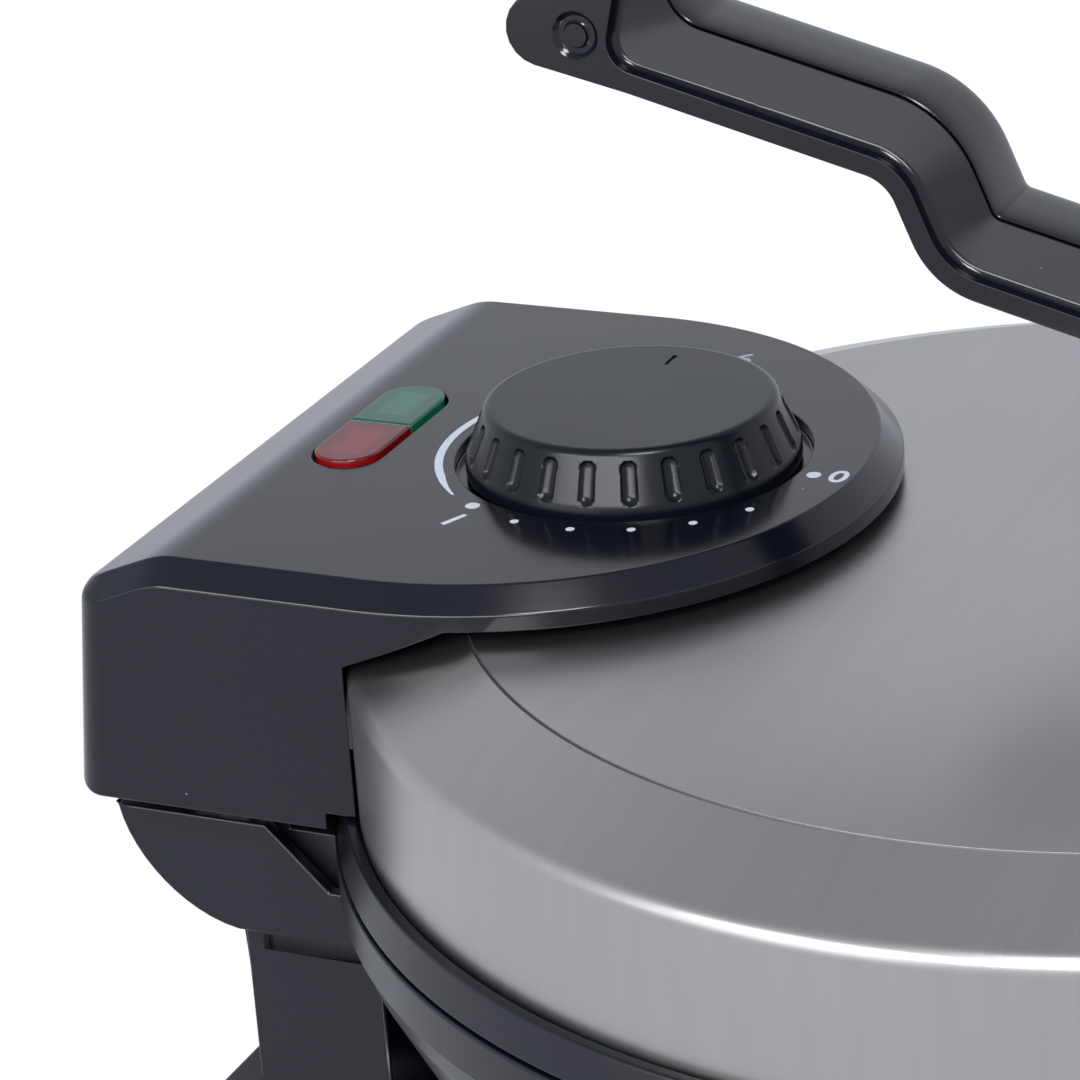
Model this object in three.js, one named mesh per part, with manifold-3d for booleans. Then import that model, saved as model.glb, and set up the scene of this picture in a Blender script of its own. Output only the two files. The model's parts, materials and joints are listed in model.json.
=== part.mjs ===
import * as THREE from "three";
import { mergeVertices } from "three/addons/utils/BufferGeometryUtils.js";
import Module from "manifold-3d";

// Electric tortilla maker, in millimetres. The table is z = 0 and the front points to -Y.
// Until the last lines the plates' axis stands at x = 0, y = 0.

const wasm = await Module();
wasm.setup();

// Gaps, walls and counts shared by all pieces
const seat = 0.3; // between two pieces that touch
const slack = 0.5; // beside a piece that turns
const wall = 2.4; // moulded plastic
const sheet = 0.8; // pressed metal
const overrun = 6; // how far a cutter passes a face
const discSteps = 48;
const ringSteps = 32;
const pinSteps = 24;
const smallSteps = 12;

// Cooking plates
const plateRadius = 101.5;
const plateThick = 5;
const plateGap = 1.2; // dough space with the lid shut
const plateLip = 3.6; // how far the flange stands out from the plate's back
const plateLipThick = 2.8;
const plateEdge = 0.9; // rounding at the face's edge
const plateEdgeGap = 1.2; // to the black rings

// Heating elements and heat shields
const elementRadius = 70;
const elementTube = 3.2;
const elementSides = 8;
const terminalRadius = 2.4;
const terminalSpread = 24;
const terminalDrop = 12;
const shieldGap = 4; // under the element
const shieldInset = 2.2; // inside the plate's back

// Base bowl with its rim
const padHeight = 2.2;
const padRadius = 8.5;
const footHeight = 6.5;
const footRadius = 12;
const footTaper = 2; // how much narrower a front foot is at its top
const footTurn = 46; // degrees each side of the front
const bowlDepth = 45.2;
const rimBand = 12.8; // from the plates' edge to the rim's outer edge
const rimHeight = 6.7;
const rimEdge = 0.4;
const partGap = 0.4; // between the two rims with the lid shut
const neckStep = 1; // the bowl steps in below its rim
const shoulderDrop = 11.3; // from the parting line to where the bowl turns in
const shoulderStep = 0.7;
const bowlTaper = 0.5; // inward per unit of depth
const heelHeight = 5.7; // rounded turn at the bowl's bottom
const heelWidth = 5.5;
const openingEdge = 3; // flat ring left round the bottom opening
const ventCount = 5;
const ventLength = 60;
const ventWidth = 4;
const ventPitch = 14;

// Hinge: its axis lies under the control housing's rear
const hingeOut = 4; // hinge axis behind the rim's rearmost point
const hingeBack = 43.8; // hinge axis behind the knob axis
const hingeRise = 1.7; // hinge axis above the parting line
const bracketRadius = 18.4; // rounded back of the bracket, about the hinge axis
const bracketFlat = 1.4; // how far that back is flattened halfway down
const bracketDeck = 0.3; // bracket's top edge below the hinge axis
const bracketShelf = 6.2; // flat top edge in front of the hinge axis
const bracketSlope = 9.6; // the top edge then drops as far as it runs
const bracketWall = 2.2;
const earWidth = 12;
const earInset = 1.65; // base ear's outer face inside the casting's end
const earRadius = 8;
const armRadius = 6;
const pinRadius = 2.5;
const castThick = 3;
const castBack = 0.4; // casting's floor plate behind the hinge axis
const castFront = 16.4; // and in front of it, where the rim lies
const webDrop = 2.7; // ear's front web below the hinge axis

// Pedestal, plinth and cord gland
const pedestalInset = 1.4; // the leg is narrower than the bracket on each side
const pedestalBack = 0.4; // leg's rear face in front of the hinge axis
const pedestalFront = 22.6; // leg's front face in front of the hinge axis
const plinthThick = 4.5;
const plinthBack = 9.7; // plinth's rear edge behind the hinge axis
const plinthWidth = 114;
const plinthPadInset = 13; // pad's middle inside the plinth's end
const plinthFront = 34; // plinth's front edge in front of the hinge axis
const glandRadius = 6.5;
const glandNose = 4.5;
const glandLength = 9;
const glandCollar = 2.6;
const glandHeight = 17;
const cordHole = 3.4;
const blockWidth = 34;
const blockDepth = 16;
const blockHeight = 12;
const blockInset = 29.85; // terminal block inside the bottom opening's rear

// Steel lid cover and its black ring
const lidHeight = 35.1; // from the parting line to the flat of the lid
const skirtInset = 3.8; // skirt inside the rim's outer edge
const shoulderWidth = 17; // sloping band outside the flat
const shoulderFall = 6; // how far that band falls
const grooveDepth = 0.5;
const grooveWidth = 0.7;
const lidRound = 2.4;
const lidRingHeight = 5.8;
const lidRingLean = 1.3;
const lidRingStep = 1.3; // upright edge outside the skirt
const lidRingLedge = 1.3; // skirt's seat below the ring's top
const lidRingInset = 0.3; // lid ring inside the base rim

// Control housing
const housingRise = 7.4; // its top above the lid's flat
const housingHalf = 57.5;
const lobeBack = 18.9; // middle of the rounded front behind the knob axis
const chamfer = 3.4;
const slopeStart = 50.6; // behind the knob axis
const slopeRun = 10.2;
const slopeFall = 4.3;
const rearTop = 63.6; // rear wall behind the knob axis, at its top
const rearBottom = 67.7; // and at its bottom
const rearRound = 2;
const cornerRound = 5;
const skirtDepth = 38.6; // from the housing's top to its bottom edge
const brow = 2.4; // rounding where the slope meets the rear wall
const lidGap = 1.5; // housing above the lid's flat
const lidGapOut = 3.5; // the gap stays level this far past the groove
const skirtGap = 0.5;
const rimGap = 0.9;
const floorThick = 2;
const floorDrop = 21; // floor's underside below the housing's top
const postRadius = 4;
const lobePostRadius = 3.2;
const lobePostInset = 21.5; // side posts inside the housing's side
const lobePostMargin = 3.95; // inside the lid's groove
const lobePostFront = 6.6; // front post behind the housing's front
const floorPostInset = 10.5; // inside the housing's side
const floorPostFront = 34; // behind the knob axis
const floorPostRear = 55;
const screwRadius = 1.5;
const screwHead = 2.8;
const screwHeadHeight = 2;
const screwLength = 9;
const coverScrewLength = 5;

// Dial knob and thermostat
const knobRadius = 25;
const knobTopRadius = 21.2;
const knobHeight = 8.8; // above the housing's top
const knobSink = 1; // into the well
const knobSkirt = 2.4; // plain band at the knob's foot
const knobShoulder = 1.5;
const knobWall = 2.6;
const fluteCount = 24;
const fluteRadius = 2.1;
const fluteDepth = 0.9;
const pointerLength = 4.4;
const pointerWidth = 0.8;
const pointerDepth = 0.5;
const pointerOut = 15.2;
const wellGap = 1.6; // round the knob
const wellDepth = 1.8;
const spindleRadius = 3;
const spindleGap = 0.3;
const bossRadius = 6;
const thermostatRadius = 14;
const thermostatHeight = 11.5;
const bushRadius = 4.9;
const bushHeight = 4.6;

// Indicator lamps
const lampBack = 41.5; // behind the knob axis
const lampShift = -1;
const lampLength = 32;
const lampWidth = 10.8;
const lampRise = 1;
const lampFlange = 1.2;
const lampFlangeThick = 1.6;
const lampSplit = 0.4;
const holderWall = 1.6;
const neonRadius = 2.4;
const neonLength = 9;

// Press lever, drawn level along +Y from its pivot
const leverAngle = 15; // degrees above level in the photograph
const pivotOut = 18; // pivot in front of the lid's skirt
const pivotRise = 16.5; // pivot above the parting line
const hubRadius = 8;
const hubHalf = 11.3;
const armRise = 18.7; // lower edge of the arm above the pivot
const crankRise = 12.6; // how far the crank lifts the grip
const crankStart = 155.5;
const crankSlope = 52.5; // degrees
const crankFootBend = 13.5; // radii of the lower edge
const crankTopBend = 6.3;
const flangeHalf = 10;
const flangeThick = 3.2;
const bodyHalf = 7.8;
const bodyTopHalf = 5.8; // at the parting line
const bodyHeight = 11.2;
const filletSize = 0.4;
const coverThick = 1.2;
const upturnStart = 203.6; // where the parting line turns up towards the thumb rest
const upturnBend = 7.2;
const restStart = 215.8; // thumb rest, the full-width end of the grip
const restCorner = 4.5;
const restHeight = 16.5;
const restRound = 2.6;
const tipCentre = 225.8;
const tipRadius = 5.35;
const tipDrop = 0.5;
const tipLean = 40; // degrees the front of the rest leans back above the tip
const recessCentre = 220.4;
const recessHeight = 5.9;
const recessRadius = 3.4;
const recessBoss = 1.75;
const recessDepth = 0.8;
const neckFront = 5;
const neckReach = 20;
const neckInner = 16;
const channelHalf = 4.8;
const channelTopHalf = 3.1;
const deckThick = 3.6;
const coverBoss = 2.6; // round bosses that the screws bite into
const coverBossDeep = 1.6;
const channelStart = 34;
const channelEnd = 204;
const leverScrewNear = 60;
const leverScrewFar = 194;
const toeHalf = 4;
const toeReach = 14;
const toeRoot = 4.5;

// Lever bracket on the lid and catch on the base
const bracketEarThick = 3;
const bracketEarRadius = 7.5;
const bracketPlate = 3;
const bracketTop = 2.2; // below the top of the skirt
const catchRadius = 2.2;
const catchForward = 9; // catch pin in front of the lever's pivot
const catchDrop = 9.5; // and below it
const catchArmThick = 3.5;
const catchArmRadius = 4.5;
const catchArmDepth = 7;

// Heights and radii that follow from them
const bowlBottom = padHeight + footHeight + seat + seat;
const partZ = bowlBottom + bowlDepth;
const rimTop = partZ - partGap / 2;
const rimOuter = plateRadius + rimBand;
const rimInner = plateRadius + plateEdgeGap;
const backRadius = plateRadius + seat - plateLip;
const shelfInner = backRadius + seat + seat;
const shieldRadius = backRadius - shieldInset;
const shoulderZ = partZ - shoulderDrop;
const shoulderRadius = rimOuter - neckStep - shoulderStep;
const heelRadius = shoulderRadius - bowlTaper * (shoulderZ - bowlBottom - heelHeight);
const openRadius = heelRadius - heelWidth - openingEdge;
const footReach = openRadius - footRadius;
const footSpread = footReach * Math.sin(THREE.MathUtils.degToRad(footTurn));
const footForward = footReach * Math.cos(THREE.MathUtils.degToRad(footTurn));
const blockBack = openRadius - blockInset;
const discZ = partZ + lidHeight;
const deckZ = discZ + housingRise;
const skirtRadius = rimOuter - skirtInset;
const grooveRadius = skirtRadius - shoulderWidth;
const lidRingTop = rimTop + partGap + lidRingHeight;
const hingeY = rimOuter + hingeOut;
const knobOut = hingeY - hingeBack;
const hingeZ = partZ + hingeRise;
const bracketHalf = housingHalf - wall - slack - slack / 2;
const castHalf = bracketHalf - bracketWall - slack;
const earOut = castHalf - earInset - earWidth;
const lobeY = knobOut + lobeBack;
const wellRadius = knobRadius + wellGap;
const lobePostSide = housingHalf - lobePostInset;
const lobePostY = Math.sqrt((grooveRadius - lobePostMargin) ** 2 - lobePostSide ** 2);
const floorPostSide = housingHalf - floorPostInset;
const housingFoot = deckZ - skirtDepth;
const floorZ = deckZ - floorDrop;
const pivotY = -skirtRadius - pivotOut;
const pivotZ = partZ + pivotRise;
const catchY = pivotY - catchForward;
const catchZ = pivotZ - catchDrop;
const boreGap = seat;

// A closed mesh as a solid, turned to face outwards
function solid(geometry) {
  const bare = geometry.clone();
  bare.deleteAttribute("normal");
  bare.deleteAttribute("uv");
  const joined = mergeVertices(bare, 1e-4);
  const corners = new Uint32Array(joined.index.array);
  const build = () =>
    new wasm.Manifold(
      new wasm.Mesh({ numProp: 3, vertProperties: joined.attributes.position.array, triVerts: corners }),
    );
  const made = build();
  if (made.volume() > 0) return made;
  for (let i = 0; i < corners.length; i += 3) {
    const first = corners[i];
    corners[i] = corners[i + 1];
    corners[i + 1] = first;
  }
  return build();
}

function surface(made) {
  const mesh = made.getMesh();
  const geometry = new THREE.BufferGeometry();
  geometry.setAttribute("position", new THREE.BufferAttribute(new Float32Array(mesh.vertProperties), 3));
  geometry.setIndex(new THREE.BufferAttribute(new Uint32Array(mesh.triVerts), 1));
  geometry.computeVertexNormals();
  return geometry;
}

function together(pieces) {
  return pieces.reduce((sum, piece) => sum.add(piece));
}

function without(body, cutters) {
  return cutters.reduce((rest, cutter) => rest.subtract(cutter), body);
}

// Turned shape about the upright axis from [radius, height] pairs
function turned(profile, steps = discSteps) {
  const points = profile.map(([radius, height]) => new THREE.Vector2(radius, height));
  const first = points[0];
  const last = points[points.length - 1];
  if (first.x > 0 || last.x > 0) points.push(first.clone());
  return solid(new THREE.LatheGeometry(points, steps).rotateX(Math.PI / 2));
}

function disc(radius, low, high, steps = pinSteps) {
  return turned([[0, low], [radius, low], [radius, high], [0, high]], steps);
}

// Round bar along X between two places, about a point of the YZ plane
function bar(radius, left, right, y, z, steps = pinSteps) {
  return disc(radius, left, right, steps).rotate([0, 90, 0]).translate([0, y, z]);
}

function block(x0, x1, y0, y1, z0, z1) {
  const box = new THREE.BoxGeometry(x1 - x0, y1 - y0, z1 - z0);
  return solid(box.translate((x0 + x1) / 2, (y0 + y1) / 2, (z0 + z1) / 2));
}

function outlineShape(points) {
  return new THREE.Shape(points.map(([x, y]) => new THREE.Vector2(x, y)));
}

// Upright prism over an outline of the XY plane
function prism(points, low, high) {
  const shape = outlineShape(points);
  const geometry = new THREE.ExtrudeGeometry(shape, { depth: high - low, bevelEnabled: false });
  return solid(geometry.translate(0, 0, low));
}

// Prism along X over an outline of the YZ plane
function slab(points, left, right) {
  const shape = outlineShape(points);
  const geometry = new THREE.ExtrudeGeometry(shape, { depth: right - left, bevelEnabled: false });
  geometry.rotateY(Math.PI / 2).rotateX(Math.PI / 2);
  return solid(geometry.translate(left, 0, 0));
}

// Points of an arc, angles in degrees
function arc(x, y, radius, from, to, steps, squash = 1) {
  return Array.from({ length: steps + 1 }, (_, i) => {
    const angle = THREE.MathUtils.degToRad(from + ((to - from) * i) / steps);
    return [x + radius * Math.cos(angle), y + radius * squash * Math.sin(angle)];
  });
}

// Skin through rings of equal count, closed by flat ends cut from the given outline
function skin(rings, outline) {
  const count = outline.length;
  const flat = outline.map(([x, y]) => new THREE.Vector2(x, y));
  const caps = THREE.ShapeUtils.triangulateShape(flat, []);
  const positions = rings.flat(2);
  const index = [];
  for (let ring = 0; ring < rings.length - 1; ring++)
    for (let i = 0; i < count; i++) {
      const next = (i + 1) % count;
      const low = ring * count;
      const high = low + count;
      index.push(low + i, low + next, high + next, low + i, high + next, high + i);
    }
  const top = (rings.length - 1) * count;
  for (const [a, b, c] of caps) {
    index.push(a, c, b);
    index.push(top + a, top + b, top + c);
  }
  const geometry = new THREE.BufferGeometry();
  geometry.setAttribute("position", new THREE.BufferAttribute(new Float32Array(positions), 3));
  geometry.setIndex(index);
  return solid(geometry);
}

function mirrored(made) {
  return made.mirror([1, 0, 0]);
}

const looks = {
  gloss: new THREE.MeshStandardMaterial({ color: 0x24262b, roughness: 0.22 }),
  satin: new THREE.MeshStandardMaterial({ color: 0x2c2f36, roughness: 0.5 }),
  dark: new THREE.MeshStandardMaterial({ color: 0x1b1c1f, roughness: 0.7 }),
  steel: new THREE.MeshStandardMaterial({ color: 0xa4a6aa, roughness: 0.32, metalness: 1 }),
  bright: new THREE.MeshStandardMaterial({ color: 0xc2c4c6, roughness: 0.25, metalness: 1 }),
  cast: new THREE.MeshStandardMaterial({ color: 0x9b9c9e, roughness: 0.6, metalness: 0.9 }),
  nonstick: new THREE.MeshStandardMaterial({ color: 0x1d1d1f, roughness: 0.45, metalness: 0.3 }),
  rubber: new THREE.MeshStandardMaterial({ color: 0x151515, roughness: 0.9 }),
  red: new THREE.MeshStandardMaterial({ color: 0xa11a20, roughness: 0.2 }),
  green: new THREE.MeshStandardMaterial({ color: 0x12804f, roughness: 0.2 }),
  glass: new THREE.MeshStandardMaterial({ color: 0xe8e4dc, roughness: 0.1 }),
  ceramic: new THREE.MeshStandardMaterial({ color: 0xe6e0d2, roughness: 0.6 }),
};

const maker = new THREE.Group();

function place(name, made, look, parent = maker) {
  const mesh = new THREE.Mesh(surface(made), look);
  mesh.name = name;
  parent.add(mesh);
  return mesh;
}

// Outer face of the bowl and its rim, grown by a gap
function bowlOutside(gap) {
  return [
    [heelRadius - heelWidth + gap, bowlBottom - gap],
    [heelRadius + gap, bowlBottom + heelHeight],
    [shoulderRadius + gap, shoulderZ],
    [rimOuter - neckStep + gap, rimTop - rimHeight - neckStep],
    [rimOuter + gap, rimTop - rimHeight],
    [rimOuter + gap, rimTop - rimEdge],
    [rimOuter - rimEdge + gap, rimTop + gap],
  ];
}

function bowlEnvelope(gap) {
  return turned([[0, bowlBottom - gap], ...bowlOutside(gap), [0, rimTop + gap]]);
}

// Lid cover and ring from outside, grown by a gap
function lidEnvelope(gap) {
  const low = rimTop + partGap;
  return turned([
    [0, low - gap],
    [rimOuter - lidRingInset + gap, low - gap],
    [rimOuter - lidRingInset - lidRingLean + gap, lidRingTop + gap],
    [skirtRadius + gap, lidRingTop + gap],
    [skirtRadius + gap, discZ - shoulderFall - lidRound + gap],
    [skirtRadius - lidRound + gap, discZ - shoulderFall + gap],
    [grooveRadius + gap, discZ + gap],
    [0, discZ + gap],
  ]);
}

// Plate with its face at z = 0 and its back below; the flange seats on the ring's shelf
function plateBody() {
  return turned([
    [0, -plateThick],
    [backRadius, -plateThick],
    [backRadius, -plateLipThick],
    [plateRadius + seat + seat, -plateLipThick],
    [plateRadius + seat + seat, -plateEdge],
    [plateRadius + seat + seat - plateEdge, 0],
    [0, 0],
  ]);
}

// Tube element under a plate's back, with two terminals that point down
function elementBody() {
  const drop = -plateThick - seat - elementTube;
  const ring = Array.from({ length: elementSides }, (_, i) => {
    const angle = (i / elementSides) * Math.PI * 2;
    return [elementRadius + elementTube * Math.cos(angle), drop + elementTube * Math.sin(angle)];
  });
  const y = Math.sqrt(elementRadius ** 2 - terminalSpread ** 2);
  const pins = [-terminalSpread, terminalSpread].map((x) =>
    disc(terminalRadius, drop - terminalDrop, drop, smallSteps).translate([x, y, 0]),
  );
  return together([turned(ring, ringSteps), ...pins]);
}

// Heat shield: a dish whose rim reaches up to the plate's back
function shieldBody() {
  const low = -plateThick - seat - elementTube * 2 - shieldGap;
  const dish = turned(
    [
      [0, low - sheet],
      [shieldRadius, low - sheet],
      [shieldRadius, -plateThick - seat],
      [shieldRadius - sheet, -plateThick - seat],
      [shieldRadius - sheet, low],
      [0, low],
    ],
    ringSteps,
  );
  const y = Math.sqrt(elementRadius ** 2 - terminalSpread ** 2);
  const holes = [-terminalSpread, terminalSpread].map((x) =>
    disc(terminalRadius + seat + slack, low - overrun, low + overrun / 2, smallSteps).translate([x, y, 0]),
  );
  return without(dish, holes);
}

// A cross-head screw, head down, shank up from z = 0
function screwBody(length) {
  return turned(
    [
      [0, -screwHeadHeight],
      [screwHead - screwHeadHeight / 4, -screwHeadHeight],
      [screwHead, -screwHeadHeight / 2],
      [screwHead, 0],
      [screwRadius, 0],
      [screwRadius, length],
      [0, length],
    ],
    smallSteps,
  );
}

// Base bowl: rim, shelf for the plate, sloping wall and a flat ring at the bottom
const shelfTop = partZ - plateGap / 2 - plateLipThick - seat;
const bowl = turned([
  [openRadius, bowlBottom],
  ...bowlOutside(0),
  [rimInner, rimTop],
  [rimInner, shelfTop],
  [shelfInner, shelfTop],
  [shelfInner, shelfTop - wall],
  [rimOuter - neckStep - wall, shelfTop - wall],
  [shoulderRadius - wall, shoulderZ],
  [heelRadius - wall, bowlBottom + heelHeight],
  [heelRadius - heelWidth - wall / 2, bowlBottom + wall],
  [openRadius, bowlBottom + wall],
]);
place("base_bowl", bowl, looks.satin);

// Bottom cover with a row of vents
const vents = Array.from({ length: ventCount }, (_, i) => {
  const y = (i - (ventCount - 1) / 2) * ventPitch;
  const half = ventWidth / 2;
  return block(-ventLength / 2, ventLength / 2, y - half, y + half, bowlBottom - overrun, bowlBottom + overrun);
});
const bottomDisc = disc(openRadius - seat, bowlBottom, bowlBottom + wall, discSteps);
place("bottom_cover", without(bottomDisc, vents), looks.dark);

// Front feet with their pads
for (const [side, label] of [[-1, "left"], [1, "right"]]) {
  const low = padHeight + seat;
  const foot = turned(
    [
      [0, low],
      [footRadius, low],
      [footRadius - footTaper, low + footHeight],
      [0, low + footHeight],
    ],
    pinSteps,
  );
  place(`front_foot_${label}`, foot.translate([side * footSpread, -footForward, 0]), looks.satin);
  const pad = disc(padRadius, 0, padHeight, pinSteps);
  place(`front_pad_${label}`, pad.translate([side * footSpread, -footForward, 0]), looks.rubber);
}

// Rear plinth across the foot of the pedestal, on two pads
const plinthLow = padHeight + seat;
const plinthTop = plinthLow + plinthThick;
const plinth = prism(
  [
    ...arc(plinthWidth / 2 - cornerRound, hingeY + plinthBack - cornerRound, cornerRound, 0, 90, 4),
    ...arc(cornerRound - plinthWidth / 2, hingeY + plinthBack - cornerRound, cornerRound, 90, 180, 4),
    ...arc(cornerRound - plinthWidth / 2, hingeY - plinthFront + cornerRound, cornerRound, 180, 270, 4),
    ...arc(plinthWidth / 2 - cornerRound, hingeY - plinthFront + cornerRound, cornerRound, 270, 360, 4),
  ],
  plinthLow,
  plinthTop,
);
place("rear_plinth", plinth, looks.dark);
for (const [side, label] of [[-1, "left"], [1, "right"]]) {
  const pad = disc(padRadius, 0, padHeight, pinSteps);
  const y = hingeY + plinthBack - padRadius - seat;
  place(`rear_pad_${label}`, pad.translate([side * (plinthWidth / 2 - plinthPadInset), y, 0]), looks.rubber);
}

// Pedestal: a hollow leg between the plinth and the hinge bracket, fitted to the bowl
const legHalf = bracketHalf - pedestalInset;
const legBack = hingeY - pedestalBack;
const legFront = hingeY - pedestalFront;
const legLow = plinthTop + seat;
const legTop = hingeZ - bracketRadius - seat;
const legShell = without(block(-legHalf, legHalf, legFront, legBack, legLow, legTop), [
  block(wall - legHalf, legHalf - wall, legFront + wall, legBack - wall, legLow + wall, legTop - wall),
  bowlEnvelope(seat),
  disc(cordHole, -overrun, overrun, smallSteps).rotate([90, 0, 0]).translate([0, legBack, glandHeight]),
]);
place("pedestal", legShell, looks.satin);

// Cord gland on the pedestal's rear face
const gland = turned(
  [
    [cordHole, 0],
    [glandRadius, 0],
    [glandRadius, glandCollar],
    [glandNose + seat, glandCollar + seat],
    [glandNose, glandLength],
    [cordHole, glandLength],
  ],
  pinSteps,
);
place("cord_gland", gland.rotate([-90, 0, 0]).translate([0, legBack + seat, glandHeight]), looks.rubber);

// Hinge bracket: an open-topped trough with a round back about the hinge axis
const deckTop = hingeZ - bracketDeck;
const slopeFrom = hingeY - bracketShelf;
const slopeTo = slopeFrom - bracketSlope;
const bracketLow = hingeZ - bracketRadius;
function bracketBack(inset) {
  return arc(0, 0, 1, 270, 359, 12).map(([y, z]) => {
    const radius = bracketRadius - inset + bracketFlat * y * z * 2;
    return [hingeY + radius * y, hingeZ + radius * z];
  });
}

const bracketOutline = [
  [legFront - overrun, bracketLow],
  ...bracketBack(0),
  [hingeY + bracketRadius, deckTop],
  [slopeFrom, deckTop],
  [slopeTo, deckTop - bracketSlope],
  [legFront - overrun, deckTop - bracketSlope],
];
const troughOutline = [
  [legFront - overrun * 2, bracketLow + wall],
  ...bracketBack(wall),
  [hingeY + bracketRadius - wall, deckTop + overrun],
  [legFront - overrun * 2, deckTop + overrun],
];
const bracket = without(slab(bracketOutline, -bracketHalf, bracketHalf), [
  slab(troughOutline, bracketWall - bracketHalf, bracketHalf - bracketWall),
  bowlEnvelope(seat),
]);
place("hinge_bracket", bracket, looks.satin);

// Hinge casting in the trough: a floor plate and two ears round the hinge axis
const castLow = bracketLow + wall + seat;
const earOutline = [
  [hingeY - castFront, castLow],
  [hingeY + castBack, castLow],
  ...arc(hingeY, hingeZ, earRadius, -20, 180, 12),
  [hingeY - earRadius, hingeZ - webDrop],
  [hingeY - castFront, hingeZ - webDrop],
];
const ear = slab(earOutline, earOut, earOut + earWidth);
const casting = without(
  together([
    block(-castHalf, castHalf, hingeY - castFront, hingeY + castBack, castLow, castLow + castThick),
    ear,
    mirrored(ear),
  ]),
  [bar(pinRadius + boreGap, -castHalf - overrun, castHalf + overrun, hingeY, hingeZ), bowlEnvelope(seat)],
);
place("hinge_base", casting, looks.cast);

// Lid arms beside the ears, and the pins through both
const armOuter = earOut - slack;
const armInner = armOuter - earWidth;
const armTop = floorZ - screwHeadHeight - slack;
const armOutline = [
  [hingeY - armRadius * 0.8, hingeZ - armRadius * 0.6],
  [hingeY + armRadius * 0.6, hingeZ + armRadius * 0.8],
  [hingeY, hingeZ + armRadius * 2],
  [hingeY - armRadius, armTop],
  [legFront, armTop],
  [legFront, lidRingTop + seat],
];
const armBody = without(
  together([slab(armOutline, armInner, armOuter), bar(armRadius, armInner, armOuter, hingeY, hingeZ)]),
  [
    bar(pinRadius + boreGap, armInner - overrun, armOuter + overrun, hingeY, hingeZ),
    lidEnvelope(seat),
    bowlEnvelope(slack),
  ],
);
place("hinge_arm_right", armBody, looks.cast);
place("hinge_arm_left", mirrored(armBody), looks.cast);
const hingePin = bar(pinRadius, armInner - slack, bracketHalf - bracketWall - seat, hingeY, hingeZ);
place("hinge_pin_right", hingePin, looks.bright);
place("hinge_pin_left", mirrored(hingePin), looks.bright);

// Plates, elements and heat shields: the lid's set is the base's turned over
const lowerFace = partZ - plateGap / 2;
const upperFace = partZ + plateGap / 2;
const halfTurn = (made) => made.mirror([0, 0, 1]).translate([0, 0, upperFace]);
place("lower_plate", plateBody().translate([0, 0, lowerFace]), looks.nonstick);
place("lower_element", elementBody().translate([0, 0, lowerFace]), looks.cast);
place("lower_shield", shieldBody().translate([0, 0, lowerFace]), looks.bright);
place("upper_plate", halfTurn(plateBody()), looks.nonstick);
place("upper_element", halfTurn(elementBody()), looks.cast);
place("upper_shield", halfTurn(shieldBody()), looks.bright);

// Terminal block on the bottom cover
const blockLow = bowlBottom + wall + seat;
const terminals = block(
  -blockWidth / 2,
  blockWidth / 2,
  blockBack - blockDepth / 2,
  blockBack + blockDepth / 2,
  blockLow,
  blockLow + blockHeight,
);
place("terminal_block", terminals, looks.ceramic);

// Lid ring: its ledge holds the skirt, its shelf the plate's flange
const ringLow = rimTop + partGap;
const ringShelf = upperFace + plateLipThick + seat;
const ringOuter = rimOuter - lidRingInset;
const ledgeZ = lidRingTop - lidRingLedge;
const lidRing = turned([
  [rimInner, ringLow],
  [ringOuter, ringLow],
  [ringOuter - lidRingLean, lidRingTop],
  [skirtRadius + slack, lidRingTop],
  [skirtRadius + slack, ledgeZ],
  [skirtRadius - sheet - slack, ledgeZ],
  [skirtRadius - sheet - slack, lidRingTop],
  [shelfInner, lidRingTop],
  [shelfInner, ringShelf],
  [rimInner, ringShelf],
]);
place("lid_ring", lidRing, looks.satin);

// Steel lid cover: flat centre, thin groove, sloping band, rounded edge and upright skirt
const bandTop = discZ - grooveDepth / 2;
const bandLow = discZ - shoulderFall;
const thermostatHole = disc(bushRadius + slack, discZ - overrun, discZ + overrun).translate([0, knobOut, 0]);
const lobePosts = [
  [-lobePostSide, lobePostY],
  [lobePostSide, lobePostY],
  [0, lobeY - housingHalf + lobePostFront],
];
const coverHoles = lobePosts.map(([x, y]) =>
  disc(screwRadius + seat, discZ - overrun, discZ + overrun, smallSteps).translate([x, y, 0]),
);
const coverShape = turned([
  [0, discZ],
  [grooveRadius - grooveWidth, discZ],
  [grooveRadius, discZ - grooveDepth],
  [grooveRadius + grooveWidth, bandTop],
  [skirtRadius - lidRound, bandLow],
  ...arc(skirtRadius - lidRound, bandLow - lidRound, lidRound, 60, 0, 3),
  [skirtRadius, ledgeZ + seat],
  [skirtRadius - sheet, ledgeZ + seat],
  [skirtRadius - sheet, bandLow - lidRound],
  [skirtRadius - sheet - lidRound / 2, bandLow - sheet],
  [grooveRadius, discZ - grooveDepth - sheet],
  [0, discZ - grooveDepth - sheet],
]);
place("lid_cover", without(coverShape, [thermostatHole, ...coverHoles]), looks.steel);

// Plan of the control housing: straight sides with a half-round front, drawn in by an inset.
// The rear wall leans back towards its foot.
function rearAt(height) {
  return knobOut + rearTop + ((rearBottom - rearTop) * (deckZ - height)) / skirtDepth;
}

function housingPlan(inset, height) {
  const half = housingHalf - inset;
  const round = Math.max(cornerRound - inset, slack);
  const back = rearAt(height) - inset;
  return [
    ...arc(half - round, back - round, round, 0, 90, 4),
    ...arc(round - half, back - round, round, 90, 180, 4),
    ...arc(0, lobeY, half, 180, 360, 28),
  ];
}

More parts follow.
